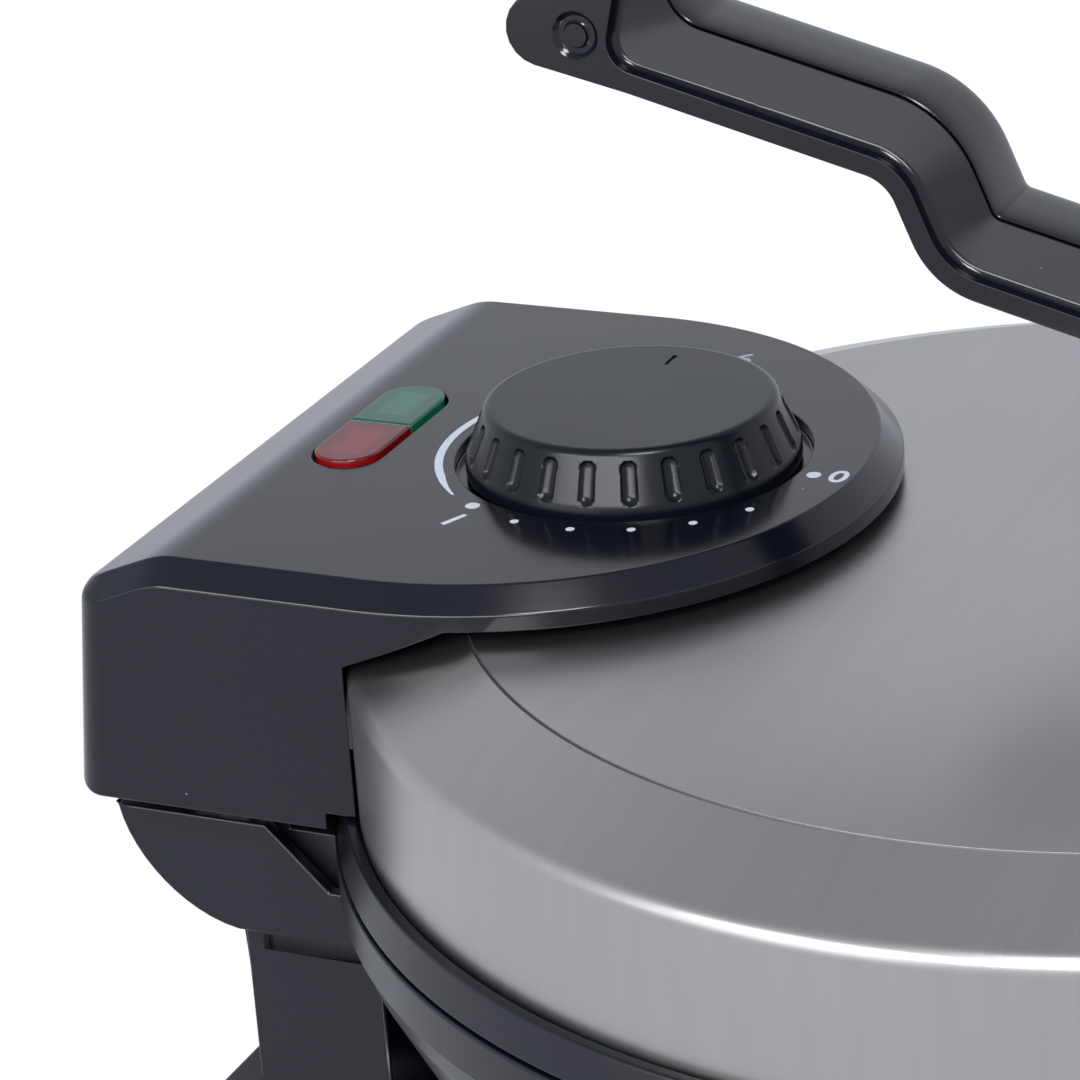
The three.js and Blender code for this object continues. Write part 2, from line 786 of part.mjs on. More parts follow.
// The housing as a full block: plan with a chamfered top, rear slope and rounded rear wall
function housingBlock(inset, foot, edge) {
  const top = deckZ - inset;
  const plan = housingPlan(inset, foot);
  const ring = (drawn, z) => housingPlan(drawn, z).map(([x, y]) => [x, y, z]);
  const column = skin([ring(inset, foot), ring(inset, top - edge), ring(inset + edge, top)], plan);
  const tilt = THREE.MathUtils.radToDeg(Math.atan2(slopeFall, slopeRun));
  const half = housingHalf - inset;
  const roof = [
    [-half - overrun, -skirtDepth * 3],
    [half + overrun, -skirtDepth * 3],
    [half + overrun, -edge - overrun],
    [half - edge, 0],
    [edge - half, 0],
    [-half - overrun, -edge - overrun],
  ];
  const reach = housingHalf * 3;
  const roofBlock = skin(
    [roof.map(([x, z]) => [x, -reach, z]), roof.map(([x, z]) => [x, reach, z])],
    roof,
  );
  const slope = roofBlock.rotate([-tilt, 0, 0]).translate([0, knobOut + slopeStart, top]);
  const browTop = top - slopeFall;
  const browBack = rearAt(browTop - brow) - inset;
  const heel = rearAt(foot) - inset;
  const bend = inset > 0 ? slack : rearRound;
  const profile = [
    [-housingHalf, foot],
    ...arc(heel - bend, foot + bend, bend, 270, 360, 5),
    ...arc(browBack - brow, browTop - brow, brow, 0, 60, 4),
    [browBack - brow * 2, top],
    [browBack - brow * 2, top + overrun],
    [-housingHalf, top + overrun],
  ];
  return column.intersect(slope).intersect(slab(profile, -housingHalf - overrun, housingHalf + overrun));
}

// Space that the lid needs under the housing
const lidSpace = turned([
  [0, 0],
  [rimOuter + rimGap, 0],
  [rimOuter + rimGap, lidRingTop + skirtGap],
  [skirtRadius + skirtGap, lidRingTop + skirtGap],
  [skirtRadius + skirtGap, bandLow + lidGap - skirtGap],
  [skirtRadius - skirtGap, bandLow + lidGap],
  [grooveRadius + lidGapOut, discZ + lidGap],
  [0, discZ + lidGap],
]);

function pill(length, width, x, y) {
  const reach = length / 2 - width / 2;
  return [...arc(x + reach, y, width / 2, -90, 90, 8), ...arc(x - reach, y, width / 2, 90, 270, 8)];
}

const lampY = knobOut + lampBack;
const innerEdge = chamfer - wall / 2;
const hollow = housingBlock(wall, housingFoot - overrun, innerEdge);
const wellFloor = disc(wellRadius + wall, deckZ - wellDepth - wall, deckZ - wall / 2, discSteps);
const floorPosts = [
  [-floorPostSide, knobOut + floorPostFront],
  [floorPostSide, knobOut + floorPostFront],
  [-floorPostSide, knobOut + floorPostRear],
  [floorPostSide, knobOut + floorPostRear],
];
const posts = [
  ...lobePosts.map(([x, y]) => disc(lobePostRadius, discZ + seat, deckZ, smallSteps).translate([x, y, 0])),
  ...floorPosts.map(([x, y]) =>
    disc(postRadius, floorZ + floorThick + seat, deckZ, smallSteps).translate([x, y, 0]),
  ),
].map((post) => post.intersect(housingBlock(wall / 2, housingFoot, chamfer - wall / 2)));
const postBores = [
  ...lobePosts.map(([x, y]) =>
    disc(screwRadius + seat, discZ, discZ - sheet + coverScrewLength + seat, smallSteps).translate([x, y, 0]),
  ),
  ...floorPosts.map(([x, y]) =>
    disc(screwRadius + seat, floorZ, floorZ + screwLength + seat, smallSteps).translate([x, y, 0]),
  ),
];
const shell = without(housingBlock(0, housingFoot, chamfer), [hollow]);
const shellTrimmed = without(together([shell, wellFloor.translate([0, knobOut, 0])]), [lidSpace]);
const housing = without(together([shellTrimmed, ...posts]), [
  ...postBores,
  disc(wellRadius, deckZ - wellDepth, deckZ + overrun, discSteps).translate([0, knobOut, 0]),
  disc(bushRadius + slack, deckZ - overrun - wall, deckZ).translate([0, knobOut, 0]),
  prism(pill(lampLength + slack, lampWidth + slack, lampShift, lampY), deckZ - overrun, deckZ + overrun),
]);
place("control_housing", housing, looks.gloss);

// Housing floor on its posts, cut round the skirt
const floorPlan = housingPlan(wall + seat, floorZ + floorThick)
  .filter(([, y]) => y > lobeY)
  .concat([
    [seat + wall - housingHalf, knobOut],
    [housingHalf - wall - seat, knobOut],
  ]);
const floorBlank = prism(floorPlan, floorZ, floorZ + floorThick);
const floorHoles = floorPosts.map(([x, y]) =>
  disc(screwRadius + seat, floorZ - overrun, floorZ + overrun, smallSteps).translate([x, y, 0]),
);
place("housing_floor", without(floorBlank, [lidEnvelope(slack), ...floorHoles]), looks.dark);
floorPosts.forEach(([x, y], i) => {
  const screw = screwBody(screwLength).translate([x, y, floorZ - seat]);
  place(`floor_screw_${i + 1}`, screw, looks.bright);
});
lobePosts.forEach(([x, y], i) => {
  const low = discZ - grooveDepth - sheet - seat;
  const screw = screwBody(coverScrewLength).translate([x, y, low]);
  place(`cover_screw_${i + 1}`, screw, looks.bright);
});

// Lamp lenses: two halves of one pill, each with a flange under the top
for (const [side, label, look] of [[-1, "red", looks.red], [1, "green", looks.green]]) {
  const half = block(
    side < 0 ? lampShift - lampLength : lampShift + lampSplit / 2,
    side < 0 ? lampShift - lampSplit / 2 : lampShift + lampLength,
    lampY - lampWidth,
    lampY + lampWidth,
    deckZ - skirtDepth,
    deckZ + overrun,
  );
  const window = prism(
    pill(lampLength - slack, lampWidth - slack, lampShift, lampY),
    deckZ - wall - seat - lampFlangeThick / 2,
    deckZ + lampRise,
  );
  const flange = prism(
    pill(lampLength + lampFlange * 2, lampWidth + lampFlange * 2, lampShift, lampY),
    deckZ - wall - seat - lampFlangeThick,
    deckZ - wall - seat,
  );
  place(`lens_${label}`, window.add(flange).intersect(half), look);
}

// Lamp holder between the floor and the lenses, with a neon lamp in each bore
const holderLow = floorZ + floorThick + seat;
const holderTop = deckZ - wall - seat - lampFlangeThick - seat;
const neonLow = holderTop - neonLength;
const neonAt = [lampShift - lampLength / 4, lampShift + lampLength / 4];
const holder = without(
  block(
    lampShift - lampLength / 2 + holderWall,
    lampShift + lampLength / 2 - holderWall,
    lampY - lampWidth / 2 + holderWall / 2,
    lampY + lampWidth / 2 - holderWall / 2,
    holderLow,
    holderTop,
  ),
  neonAt.map((x) => disc(neonRadius + seat, neonLow - seat, deckZ, smallSteps).translate([x, lampY, 0])),
);
place("lamp_holder", holder, looks.dark);
neonAt.forEach((x, i) => {
  const lamp = disc(neonRadius, neonLow, holderTop, smallSteps).translate([x, lampY, 0]);
  place(i ? "neon_lamp_right" : "neon_lamp_left", lamp, looks.glass);
});

// Thermostat on the lid's heat shield, its bush up through the lid
const shieldTop = upperFace + plateThick + seat + elementTube * 2 + shieldGap + sheet;
const thermostatLow = shieldTop + seat;
const bushTop = deckZ - wellDepth - seat;
const spindleLow = thermostatLow + thermostatHeight / 2;
const thermostat = without(
  turned(
    [
      [0, thermostatLow],
      [thermostatRadius, thermostatLow],
      [thermostatRadius, thermostatLow + thermostatHeight],
      [bushRadius, thermostatLow + thermostatHeight],
      [bushRadius, bushTop],
      [0, bushTop],
    ],
    pinSteps,
  ),
  [disc(spindleRadius + spindleGap, spindleLow - seat, deckZ, smallSteps * 2)],
);
place("thermostat_body", thermostat.translate([0, knobOut, 0]), looks.bright);

// Dial knob: fluted cone, hollow below, with a boss on the spindle
const knobLow = deckZ - knobSink;
const knobTop = deckZ + knobHeight;
const knobRoof = knobTop - knobWall;
const spindleTop = knobRoof - seat;
const knobShape = turned([
  [0, knobRoof],
  [knobTopRadius - knobWall, knobRoof],
  [knobRadius - knobWall, knobLow],
  [knobRadius, knobLow],
  [knobRadius, knobLow + knobSkirt],
  [knobTopRadius + knobShoulder / 2, knobTop - knobShoulder],
  [knobTopRadius, knobTop - knobShoulder / 3],
  [knobTopRadius - knobShoulder, knobTop],
  [0, knobTop],
]);
const fluteLean = THREE.MathUtils.radToDeg(Math.atan2(knobRadius - knobTopRadius, knobHeight + knobSink));
const fluteLow = knobLow + knobSkirt;
const fluteTop = knobTop - knobShoulder;
const fluteOut = knobRadius - (knobRadius - knobTopRadius) / 2 + fluteRadius - fluteDepth;
const fluteMiddle = (fluteLow + fluteTop) / 2;
const fluteHalf = (fluteTop - fluteLow) / 2;
const fluteShape = turned(
  [
    [0, -fluteHalf],
    [fluteRadius, fluteRadius / 2 - fluteHalf],
    [fluteRadius, fluteHalf - fluteRadius / 2],
    [0, fluteHalf],
  ],
  6,
);
const flutes = Array.from({ length: fluteCount }, (_, i) =>
  fluteShape
    .rotate([0, -fluteLean, 0])
    .translate([fluteOut, 0, fluteMiddle])
    .rotate([0, 0, ((i + 0.5) / fluteCount) * 360]),
);
const pointer = block(
  pointerOut - pointerLength / 2,
  pointerOut + pointerLength / 2,
  -pointerWidth / 2,
  pointerWidth / 2,
  knobTop - pointerDepth,
  knobTop + overrun,
);
const knobBody = without(together([knobShape, disc(bossRadius, bushTop + slack, knobRoof + seat)]), [
  ...flutes,
  pointer,
  disc(spindleRadius + spindleGap, knobLow - overrun, spindleTop + seat / 2, smallSteps * 2),
]);
place("dial_knob", knobBody.translate([0, knobOut, 0]), looks.satin);
const spindle = disc(spindleRadius, spindleLow, spindleTop, smallSteps * 2);
place("thermostat_spindle", spindle.translate([0, knobOut, 0]), looks.bright);

// Lever bracket on the front of the lid: a plate on the skirt and two ears
const earFace = hubHalf + slack;
const plateBack = -skirtRadius + overrun;
const plateFront = -skirtRadius - bracketPlate;
const mountLow = lidRingTop + slack;
const mountTop = bandLow - bracketTop;
const mountPlate = block(-earFace - bracketEarThick, earFace + bracketEarThick, plateFront, plateBack, mountLow, mountTop);
const mountEarOutline = [
  [plateBack, mountTop],
  ...arc(pivotY, pivotZ, bracketEarRadius, 90, 270, 10),
  [plateBack, mountLow],
];
const mountEar = slab(mountEarOutline, earFace, earFace + bracketEarThick);
const mount = without(together([mountPlate, mountEar, mirrored(mountEar)]), [
  lidEnvelope(seat),
  bar(pinRadius + boreGap, -housingHalf, housingHalf, pivotY, pivotZ),
]);
place("lever_bracket", mount, looks.satin);
const pinHalf = earFace + bracketEarThick;
place("lever_pin", bar(pinRadius, -pinHalf, pinHalf, pivotY, pivotZ), looks.bright);

// Catch on the base: two arms from the rim and the pin that the lever's toe works under
const catchInner = pinHalf + slack * 2;
const catchOuter = catchInner + catchArmThick;
const catchTop = rimTop - slack - slack;
const catchLow = catchTop - catchArmDepth;
const catchRoot = overrun - rimOuter;
const catchOutline = [
  [catchRoot, catchTop],
  [catchRoot, catchLow],
  [pivotY + catchArmRadius, catchLow],
  ...arc(catchY, catchZ, catchArmRadius, 180 + 35, 360, 8).slice(0, 1),
  ...arc(catchY, catchZ, catchArmRadius, 180, 0, 8),
  [pivotY + catchArmRadius, catchTop],
];
const catchArm = without(slab(catchOutline, catchInner, catchOuter), [
  bowlEnvelope(seat),
  bar(catchRadius + seat, 0, housingHalf, catchY, catchZ, smallSteps),
]);
place("catch_arm_right", catchArm, looks.satin);
place("catch_arm_left", mirrored(catchArm), looks.satin);
place("catch_pin", bar(catchRadius, -catchOuter, catchOuter, catchY, catchZ, smallSteps), looks.bright);

// Lever: one section swept along the arm, up the two bends of the crank and along the grip
const lever = new THREE.Group();
lever.position.set(0, pivotY, pivotZ);
lever.rotation.x = THREE.MathUtils.degToRad(leverAngle);
maker.add(lever);
const gripLow = armRise + crankRise;
const slope = THREE.MathUtils.degToRad(crankSlope);
const bends = crankFootBend + crankTopBend;
const crankRun = bends * Math.sin(slope) + (crankRise - bends * (1 - Math.cos(slope))) / Math.tan(slope);
const bendShares = [0, 0.25, 0.5, 0.75, 1];
const crankFoot = bendShares.map((share) => {
  const turn = slope * share;
  return [crankStart + crankFootBend * Math.sin(turn), armRise + crankFootBend * (1 - Math.cos(turn)), turn];
});
const crankTop = bendShares.map((share) => {
  const turn = slope * (1 - share);
  const back = crankTopBend * Math.sin(turn);
  return [crankStart + crankRun - back, gripLow - crankTopBend * (1 - Math.cos(turn)), turn];
});

function leverRings(outline, from, to) {
  const path = [[from, armRise, 0], ...crankFoot, ...crankTop, [to, gripLow, 0]];
  const rings = path.map(([s, low, turn]) =>
    outline.map(([x, n]) => [x, s - n * Math.sin(turn), low + n * Math.cos(turn)]),
  );
  return skin(rings, outline);
}

function bothSides(points) {
  return [...points, ...points.map(([x, n]) => [-x, n]).reverse()];
}

const trayOutline = bothSides([
  [flangeHalf, 0],
  [flangeHalf, flangeThick * 0.35],
  [flangeHalf - (flangeHalf - bodyHalf) * 0.3, flangeThick * 0.78],
  [bodyHalf, flangeThick],
  [bodyHalf - filletSize, flangeThick + filletSize],
  [bodyTopHalf, bodyHeight],
]);
const channelOutline = bothSides([
  [channelHalf, -overrun],
  [channelTopHalf, bodyHeight - deckThick],
]);
const coverOutline = bothSides([
  [bodyTopHalf, bodyHeight + seat],
  [bodyTopHalf, bodyHeight + seat + coverThick * 0.25],
  [bodyTopHalf * 0.84, bodyHeight + seat + coverThick * 0.75],
  [bodyTopHalf * 0.5, bodyHeight + seat + coverThick],
]);
const neckTop = armRise + bodyHeight;
const neckOutline = [
  ...arc(neckReach, hubRadius / 2, neckReach + neckFront, 180, 90, 7, (neckTop - hubRadius / 2) / (neckReach + neckFront)),
  [neckReach + overrun, neckTop],
  [neckReach + overrun, armRise],
  ...arc(hubRadius + neckInner, 0, neckInner, 90, 180, 6, armRise / neckInner),
];

// Thumb rest: the grip's end turns up, so the parting line leaves through the top
const restTop = gripLow + restHeight;
const upturnMiddle = gripLow + bodyHeight + upturnBend;
const upturnInner = upturnBend - seat;
const upturnOuter = upturnInner - coverThick;
const upturned = (radius) => 270 + THREE.MathUtils.radToDeg(Math.acos((upturnMiddle - restTop) / radius));
const tipMiddle = gripLow - tipDrop + tipRadius;
const lean = THREE.MathUtils.degToRad(tipLean);
const leanStart = tipCentre + tipRadius * Math.cos(lean);
const leanRise = restTop - restRound - tipMiddle - tipRadius * Math.sin(lean);
const leanEnd = leanStart - leanRise * Math.tan(lean);
const restOutline = [
  [restStart - restCorner, gripLow],
  ...arc(tipCentre, tipMiddle, tipRadius, 270, 360 + tipLean, 9),
  [leanEnd, restTop - restRound],
  [leanEnd - restRound, restTop],
  [restStart, restTop],
  ...arc(restStart - restCorner, gripLow + flangeThick + restCorner, restCorner, 360, 270, 5),
];
const upturnOutline = [
  [upturnStart, gripLow + bodyHeight - deckThick],
  ...arc(upturnStart, upturnMiddle, upturnBend, 270, upturned(upturnBend), 6),
  [restStart + overrun / 2, restTop],
  [restStart + overrun / 2, gripLow + bodyHeight - deckThick],
];
const coverEnd = [
  [upturnStart - overrun, upturnMiddle - upturnInner],
  ...arc(upturnStart, upturnMiddle, upturnInner, 270, upturned(upturnInner), 6),
  ...arc(upturnStart, upturnMiddle, upturnOuter, upturned(upturnOuter), 270, 6),
  [upturnStart - overrun, upturnMiddle - upturnOuter],
];
const restSide = flangeHalf - recessDepth;
const recessAt = [recessCentre, gripLow + recessHeight];
const recessRing = bar(recessRadius, restSide, flangeHalf + overrun, ...recessAt, smallSteps * 2).subtract(
  bar(recessBoss, restSide - overrun, flangeHalf + overrun * 2, ...recessAt, smallSteps),
);
const polar = (radius, angle) => {
  const turn = THREE.MathUtils.degToRad(angle);
  return [-radius * Math.cos(turn), -radius * Math.sin(turn)];
};
const toeAngles = { nose: 57, tip: 67, heel: 77, back: 100, root: 118 };
const toeSlot = slab(
  [
    polar(toeRoot - seat, toeAngles.nose - 20),
    polar(toeReach + seat, toeAngles.nose - 8),
    polar(toeReach + seat, toeAngles.root + 8),
    polar(toeRoot - seat, toeAngles.root + 8),
  ],
  -toeHalf - seat,
  toeHalf + seat,
);
const leverScrews = [
  [leverScrewNear, armRise],
  [leverScrewFar, gripLow],
];
const screwBores = leverScrews.map(([s, low]) =>
  disc(screwRadius + seat, low, low + bodyHeight + coverThick * 0.6 + seat, smallSteps).translate([0, s, 0]),
);
const coverBosses = leverScrews.map(([s, low]) =>
  disc(coverBoss, low + bodyHeight - coverBossDeep, low + bodyHeight + seat + coverThick * 0.5).translate([0, s, 0]),
);
const bossWells = leverScrews.map(([s, low]) =>
  disc(coverBoss + seat, low + bodyHeight - coverBossDeep - seat, low + bodyHeight + overrun).translate([0, s, 0]),
);
const tray = without(
  together([
    bar(hubRadius, -hubHalf, hubHalf, 0, 0),
    slab(neckOutline, -flangeHalf, flangeHalf),
    leverRings(trayOutline, neckReach, restStart + overrun / 2),
    slab(upturnOutline, -bodyTopHalf, bodyTopHalf),
    slab(restOutline, -flangeHalf, flangeHalf),
  ]),
  [
    bar(pinRadius + boreGap, -hubHalf - overrun, hubHalf + overrun, 0, 0),
    toeSlot,
    leverRings(channelOutline, channelStart, channelEnd),
    recessRing,
    mirrored(recessRing),
    ...bossWells,
    ...screwBores,
  ],
);
place("lever_tray", tray, looks.gloss, lever);
const grip = together([
  leverRings(coverOutline, neckReach, upturnStart),
  slab(coverEnd, -bodyTopHalf, bodyTopHalf),
  ...coverBosses,
]);
place("lever_grip", without(grip, screwBores), looks.gloss, lever);
leverScrews.forEach(([s, low], i) => {
  const seatZ = low + bodyHeight - deckThick - seat;
  const screw = screwBody(deckThick + seat + coverThick * 0.5).translate([0, s, seatZ]);
  place(`lever_screw_${i + 1}`, screw, looks.bright, lever);
});

// Steel toe in the hub's slot
const toeOutline = [
  polar(toeRoot, toeAngles.nose),
  polar(toeReach, toeAngles.nose),
  polar(toeReach, toeAngles.tip),
  polar(toeReach, toeAngles.heel),
  polar(hubRadius, toeAngles.back),
  polar(toeRoot, toeAngles.root),
];
place("lever_toe", slab(toeOutline, -toeHalf, toeHalf), looks.bright, lever);

// The origin goes to the middle of the footprint, on the table
const frontMost = catchY - catchArmRadius;
const rearMost = knobOut + rearBottom;
maker.position.y = -(frontMost + rearMost) / 2;

export default maker;
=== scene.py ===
import json
import math
import bmesh
import bpy
from mathutils import Matrix, Vector


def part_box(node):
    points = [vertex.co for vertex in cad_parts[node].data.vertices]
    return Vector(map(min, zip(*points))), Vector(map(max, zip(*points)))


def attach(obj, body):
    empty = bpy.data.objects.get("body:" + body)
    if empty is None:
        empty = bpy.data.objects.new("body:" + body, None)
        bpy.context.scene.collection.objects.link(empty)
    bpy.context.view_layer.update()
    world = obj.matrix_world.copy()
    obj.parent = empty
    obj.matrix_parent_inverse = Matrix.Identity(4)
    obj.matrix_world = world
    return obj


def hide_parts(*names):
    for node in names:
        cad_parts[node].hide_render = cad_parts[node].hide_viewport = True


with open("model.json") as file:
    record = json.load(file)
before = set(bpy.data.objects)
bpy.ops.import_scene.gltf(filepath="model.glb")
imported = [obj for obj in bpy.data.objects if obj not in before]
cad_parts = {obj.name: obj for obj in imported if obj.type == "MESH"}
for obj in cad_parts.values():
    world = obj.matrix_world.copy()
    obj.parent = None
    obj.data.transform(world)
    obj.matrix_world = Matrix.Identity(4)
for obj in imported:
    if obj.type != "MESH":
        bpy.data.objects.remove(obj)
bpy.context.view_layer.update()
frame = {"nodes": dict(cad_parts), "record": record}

# The studio: a pale floor under a white surround, three soft lamps, and a long lens that looks down
# on the dial from the left front. All sizes are in millimetres, with the table at z = 0.
MM = 0.001
KNOB_AXIS = Vector((0, 74.4, 97.0))


def metres(*point):
    return Vector(point) * MM


azimuth, elevation, roll = (math.radians(a) for a in (-63.6512, 22.895, -4.2745))
reach = math.cos(elevation)
away = Vector((math.sin(azimuth) * reach, -math.cos(azimuth) * reach, math.sin(elevation)))
level = Vector((math.cos(azimuth), math.sin(azimuth), 0))
plumb = away.cross(level)
right = level * math.cos(roll) + plumb * math.sin(roll)
up = plumb * math.cos(roll) - level * math.sin(roll)
focal_pixels, picture_pixels = 4392.464, 1080
distance, knob_right, knob_up = 650, 13.8956, 13.152  # of the knob, from the lens and the picture's middle
camera_data = bpy.data.cameras.new("long_lens")
camera_data.sensor_width = 36
camera_data.lens = focal_pixels / picture_pixels * camera_data.sensor_width
camera_data.clip_start, camera_data.clip_end = 0.01, 20
camera = bpy.data.objects.new("camera", camera_data)
bpy.context.collection.objects.link(camera)
camera_place = KNOB_AXIS + away * distance - right * knob_right - up * knob_up
camera_turn = Matrix((right, up, away)).transposed().to_4x4()
camera.matrix_world = Matrix.Translation(camera_place * MM) @ camera_turn
bpy.context.scene.camera = camera
bpy.context.scene.view_settings.view_transform = "Standard"


class Channel:
    """A socket of a finish. Sums and products on it add Math nodes."""

    def __init__(self, finish, socket):
        self.finish, self.socket = finish, socket

    def _pair(self, operation, first, second, clamp=False):
        settings = {"operation": operation, "use_clamp": clamp}
        return self.finish.node("ShaderNodeMath", settings, {0: first, 1: second})

    def __add__(self, other):
        return self._pair("ADD", self, other)

    def __sub__(self, other):
        return self._pair("SUBTRACT", self, other)

    def __rsub__(self, other):
        return self._pair("SUBTRACT", other, self)

    def __mul__(self, other):
        return self._pair("MULTIPLY", self, other)

    def __truediv__(self, other):
        return self._pair("DIVIDE", self, other)

    def __pow__(self, other):
        return self._pair("POWER", self, other)

    __radd__ = __add__
    __rmul__ = __mul__

    def __abs__(self):
        return self.finish.node("ShaderNodeMath", {"operation": "ABSOLUTE"}, {0: self})

    def ramp(self, low, high):
        """0 below low, 1 above high, straight between."""
        return self._pair("MULTIPLY", self - low, 1 / (high - low), True)


class Finish:
    """One procedural finish: its shader and the nodes that vary it over the surface."""

    def __init__(self, name, tree=None, **fixed):
        if tree is None:
            self.material = bpy.data.materials.new(name)
            self.material.use_nodes = True
            tree = self.material.node_tree
        self.tree = tree
        self.shader = tree.nodes.get("Principled BSDF")
        self.set(fixed)

    def node(self, kind, settings=None, sockets=None, output=0):
        made = self.tree.nodes.new(kind)
        for key, value in (settings or {}).items():
            setattr(made, key, value)
        for key, value in (sockets or {}).items():
            self.feed(made.inputs[key], value)
        return Channel(self, made.outputs[output])

    def feed(self, socket, value):
        if isinstance(value, Channel):
            self.tree.links.new(value.socket, socket)
        elif hasattr(socket.default_value, "__len__") and len(value) < len(socket.default_value):
            socket.default_value = (*value, 1)
        else:
            socket.default_value = value

    def set(self, sockets):
        for key, value in sockets.items():
            self.feed(self.shader.inputs[key.replace("_", " ")], value)
        return self

    def place(self, scale=(1, 1, 1)):
        """Coordinates in millimetres from the piece's own origin, scaled."""
        raw, factor = self.node("ShaderNodeTexCoord", output=3), tuple(s / MM for s in scale)
        return self.node("ShaderNodeVectorMath", {"operation": "MULTIPLY"}, {0: raw, 1: factor})

    def axes(self):
        """The three coordinates in millimetres, each by itself."""
        split = self.node("ShaderNodeSeparateXYZ", None, {0: self.place()})
        return [Channel(self, output) for output in split.socket.node.outputs]

    def noise(self, place, detail=2.0, rough=0.5):
        sockets = {"Vector": place, "Scale": 1, "Detail": detail, "Roughness": rough}
        return self.node("ShaderNodeTexNoise", None, sockets)

    def mix(self, share, first, second):
        return self.node("ShaderNodeMix", {"data_type": "RGBA"}, {0: share, 6: first, 7: second}, 2)

    def bump(self, height, depth):
        return self.node("ShaderNodeBump", None, {"Height": height, "Distance": depth * MM, "Strength": 1.0})


def linked(name, mesh):
    made = bpy.data.objects.new(name, mesh)
    bpy.context.collection.objects.link(made)
    return made


def shown_directly(finish):
    """Shares of the light: what the camera sees, and that with what reflections and refractions see."""
    rays = finish.node("ShaderNodeLightPath").socket.node.outputs
    kinds = ("Is Camera Ray", "Is Glossy Ray", "Is Transmission Ray")
    seen, mirrored, passed = (Channel(finish, rays[kind]) for kind in kinds)
    return seen, (seen + mirrored + passed).ramp(0, 1)


floor_half, cool, white = 3000, (0.87, 0.905, 1.0), (1, 1, 1)
floor_mesh = bpy.data.meshes.new("floor")
floor_corners = [metres(x * floor_half, y * floor_half, 0) for x, y in ((-1, -1), (1, -1), (1, 1), (-1, 1))]
floor_mesh.from_pydata(floor_corners, [], [(0, 1, 2, 3)])
floor = linked("floor", floor_mesh)
floor_finish = Finish("floor_white", Base_Color=(0.86, 0.86, 0.86), Roughness=0.9)
seen, shown = shown_directly(floor_finish)
glow_strength, glow_share = 1.02, 0.96
glow_colour = floor_finish.mix(seen, cool, white)
glow = floor_finish.node("ShaderNodeEmission", None, {"Color": glow_colour, "Strength": glow_strength})
lit = Channel(floor_finish, floor_finish.shader.outputs[0])
blend = floor_finish.node("ShaderNodeMixShader", None, {0: shown * glow_share, 1: lit, 2: glow})
floor_finish.feed(floor_finish.tree.nodes["Material Output"].inputs["Surface"], blend)
floor.data.materials.append(floor_finish.material)

# The surround: a photographer's tent, white at eye level and dimming to grey overhead. On matt faces
# it falls at less than half of that, so that the lamps model the forms.
world = bpy.data.worlds.new("surround")
bpy.context.scene.world = world
world.use_nodes = True
surround = Finish("surround", tree=world.node_tree)
direction = surround.node("ShaderNodeTexCoord")
height = surround.node("ShaderNodeSeparateXYZ", None, {0: direction}, output=2)
by_camera, direct = shown_directly(surround)
dim_from, dim_to, dimming, matt_share = 0.4, 0.85, 0.45, 0.45
dimmed = 1 - height.ramp(dim_from, dim_to) * dimming
strength = by_camera + (1 - by_camera) * (direct * dimmed + (1 - direct) * matt_share)
background = world.node_tree.nodes["Background"]
surround.feed(background.inputs["Color"], surround.mix(by_camera, cool, white))
surround.feed(background.inputs["Strength"], strength)


def soft_lamp(name, place, aim, size, watts):
    data = bpy.data.lights.new(name, "AREA")
    data.shape, data.size, data.size_y, data.energy = "RECTANGLE", size[0] * MM, size[1] * MM, watts
    lamp = linked(name, data)
    lamp.location = metres(*place)
    lamp.rotation_euler = (metres(*place) - metres(*aim)).to_track_quat("Z", "Y").to_euler()


soft_lamp("overhead_lamp", (-565, -280, 961), (0, 0, 60), (320, 280), 7)
soft_lamp("front_lamp", (-1242, 160, 725), (0, 74, 100), (1500, 320), 20)
soft_lamp("left_lamp", (-620, 330, 125), (0, 60, 130), (500, 240), 0.7)

# Base bowl: the lower body, moulded in black plastic with a satin skin. Its rim overhangs a wall
# that slopes in to a rounded heel; the cooking plate drops onto the shelf inside.
def ends(node):
    """Lowest and highest corner of a node in millimetres."""
    low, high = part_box(node)
    return low / MM, high / MM


def filleted(corners, steps=6):
    """A closed outline from corners (a, b, rounding). A rounding takes less than half of a side."""
    points, most = [], 0.49
    for before, here, after in zip(corners[-1:] + corners[:-1], corners, corners[1:] + corners[:1]):
        corner, size = Vector(here[:2]), here[2]
        if not size:
            points.append(corner)
            continue
        legs = [Vector(end[:2]) - corner for end in (before, after)]
        reach = min(size / math.tan(legs[0].angle(legs[1]) / 2), legs[0].length * most, legs[1].length * most)
        first, last = (corner + leg.normalized() * reach for leg in legs)
        for i in range(steps + 1):
            t = i / steps
            points.append(first * (1 - t) ** 2 + corner * (2 * t * (1 - t)) + last * t**2)
    return points


def mended(mesh, weld, flat=0.0, outwards=True):
    """Welds corners nearer than weld, merges faces within flat degrees, turns the faces outwards."""
    work = bmesh.new()
    work.from_mesh(mesh)
    bmesh.ops.remove_doubles(work, verts=work.verts, dist=weld * MM)
    if flat:
        bmesh.ops.dissolve_limit(work, angle_limit=math.radians(flat), verts=work.verts, edges=work.edges)
    if outwards:
        bmesh.ops.recalc_face_normals(work, faces=work.faces)
    work.to_mesh(mesh)
    work.free()
    return mesh


def solid(name, corners, faces):
    """A closed piece from corners in millimetres."""
    mesh = bpy.data.meshes.new(name)
    mesh.from_pydata([metres(*corner) for corner in corners], [], faces)
    return linked(name, mended(mesh, 0.001))


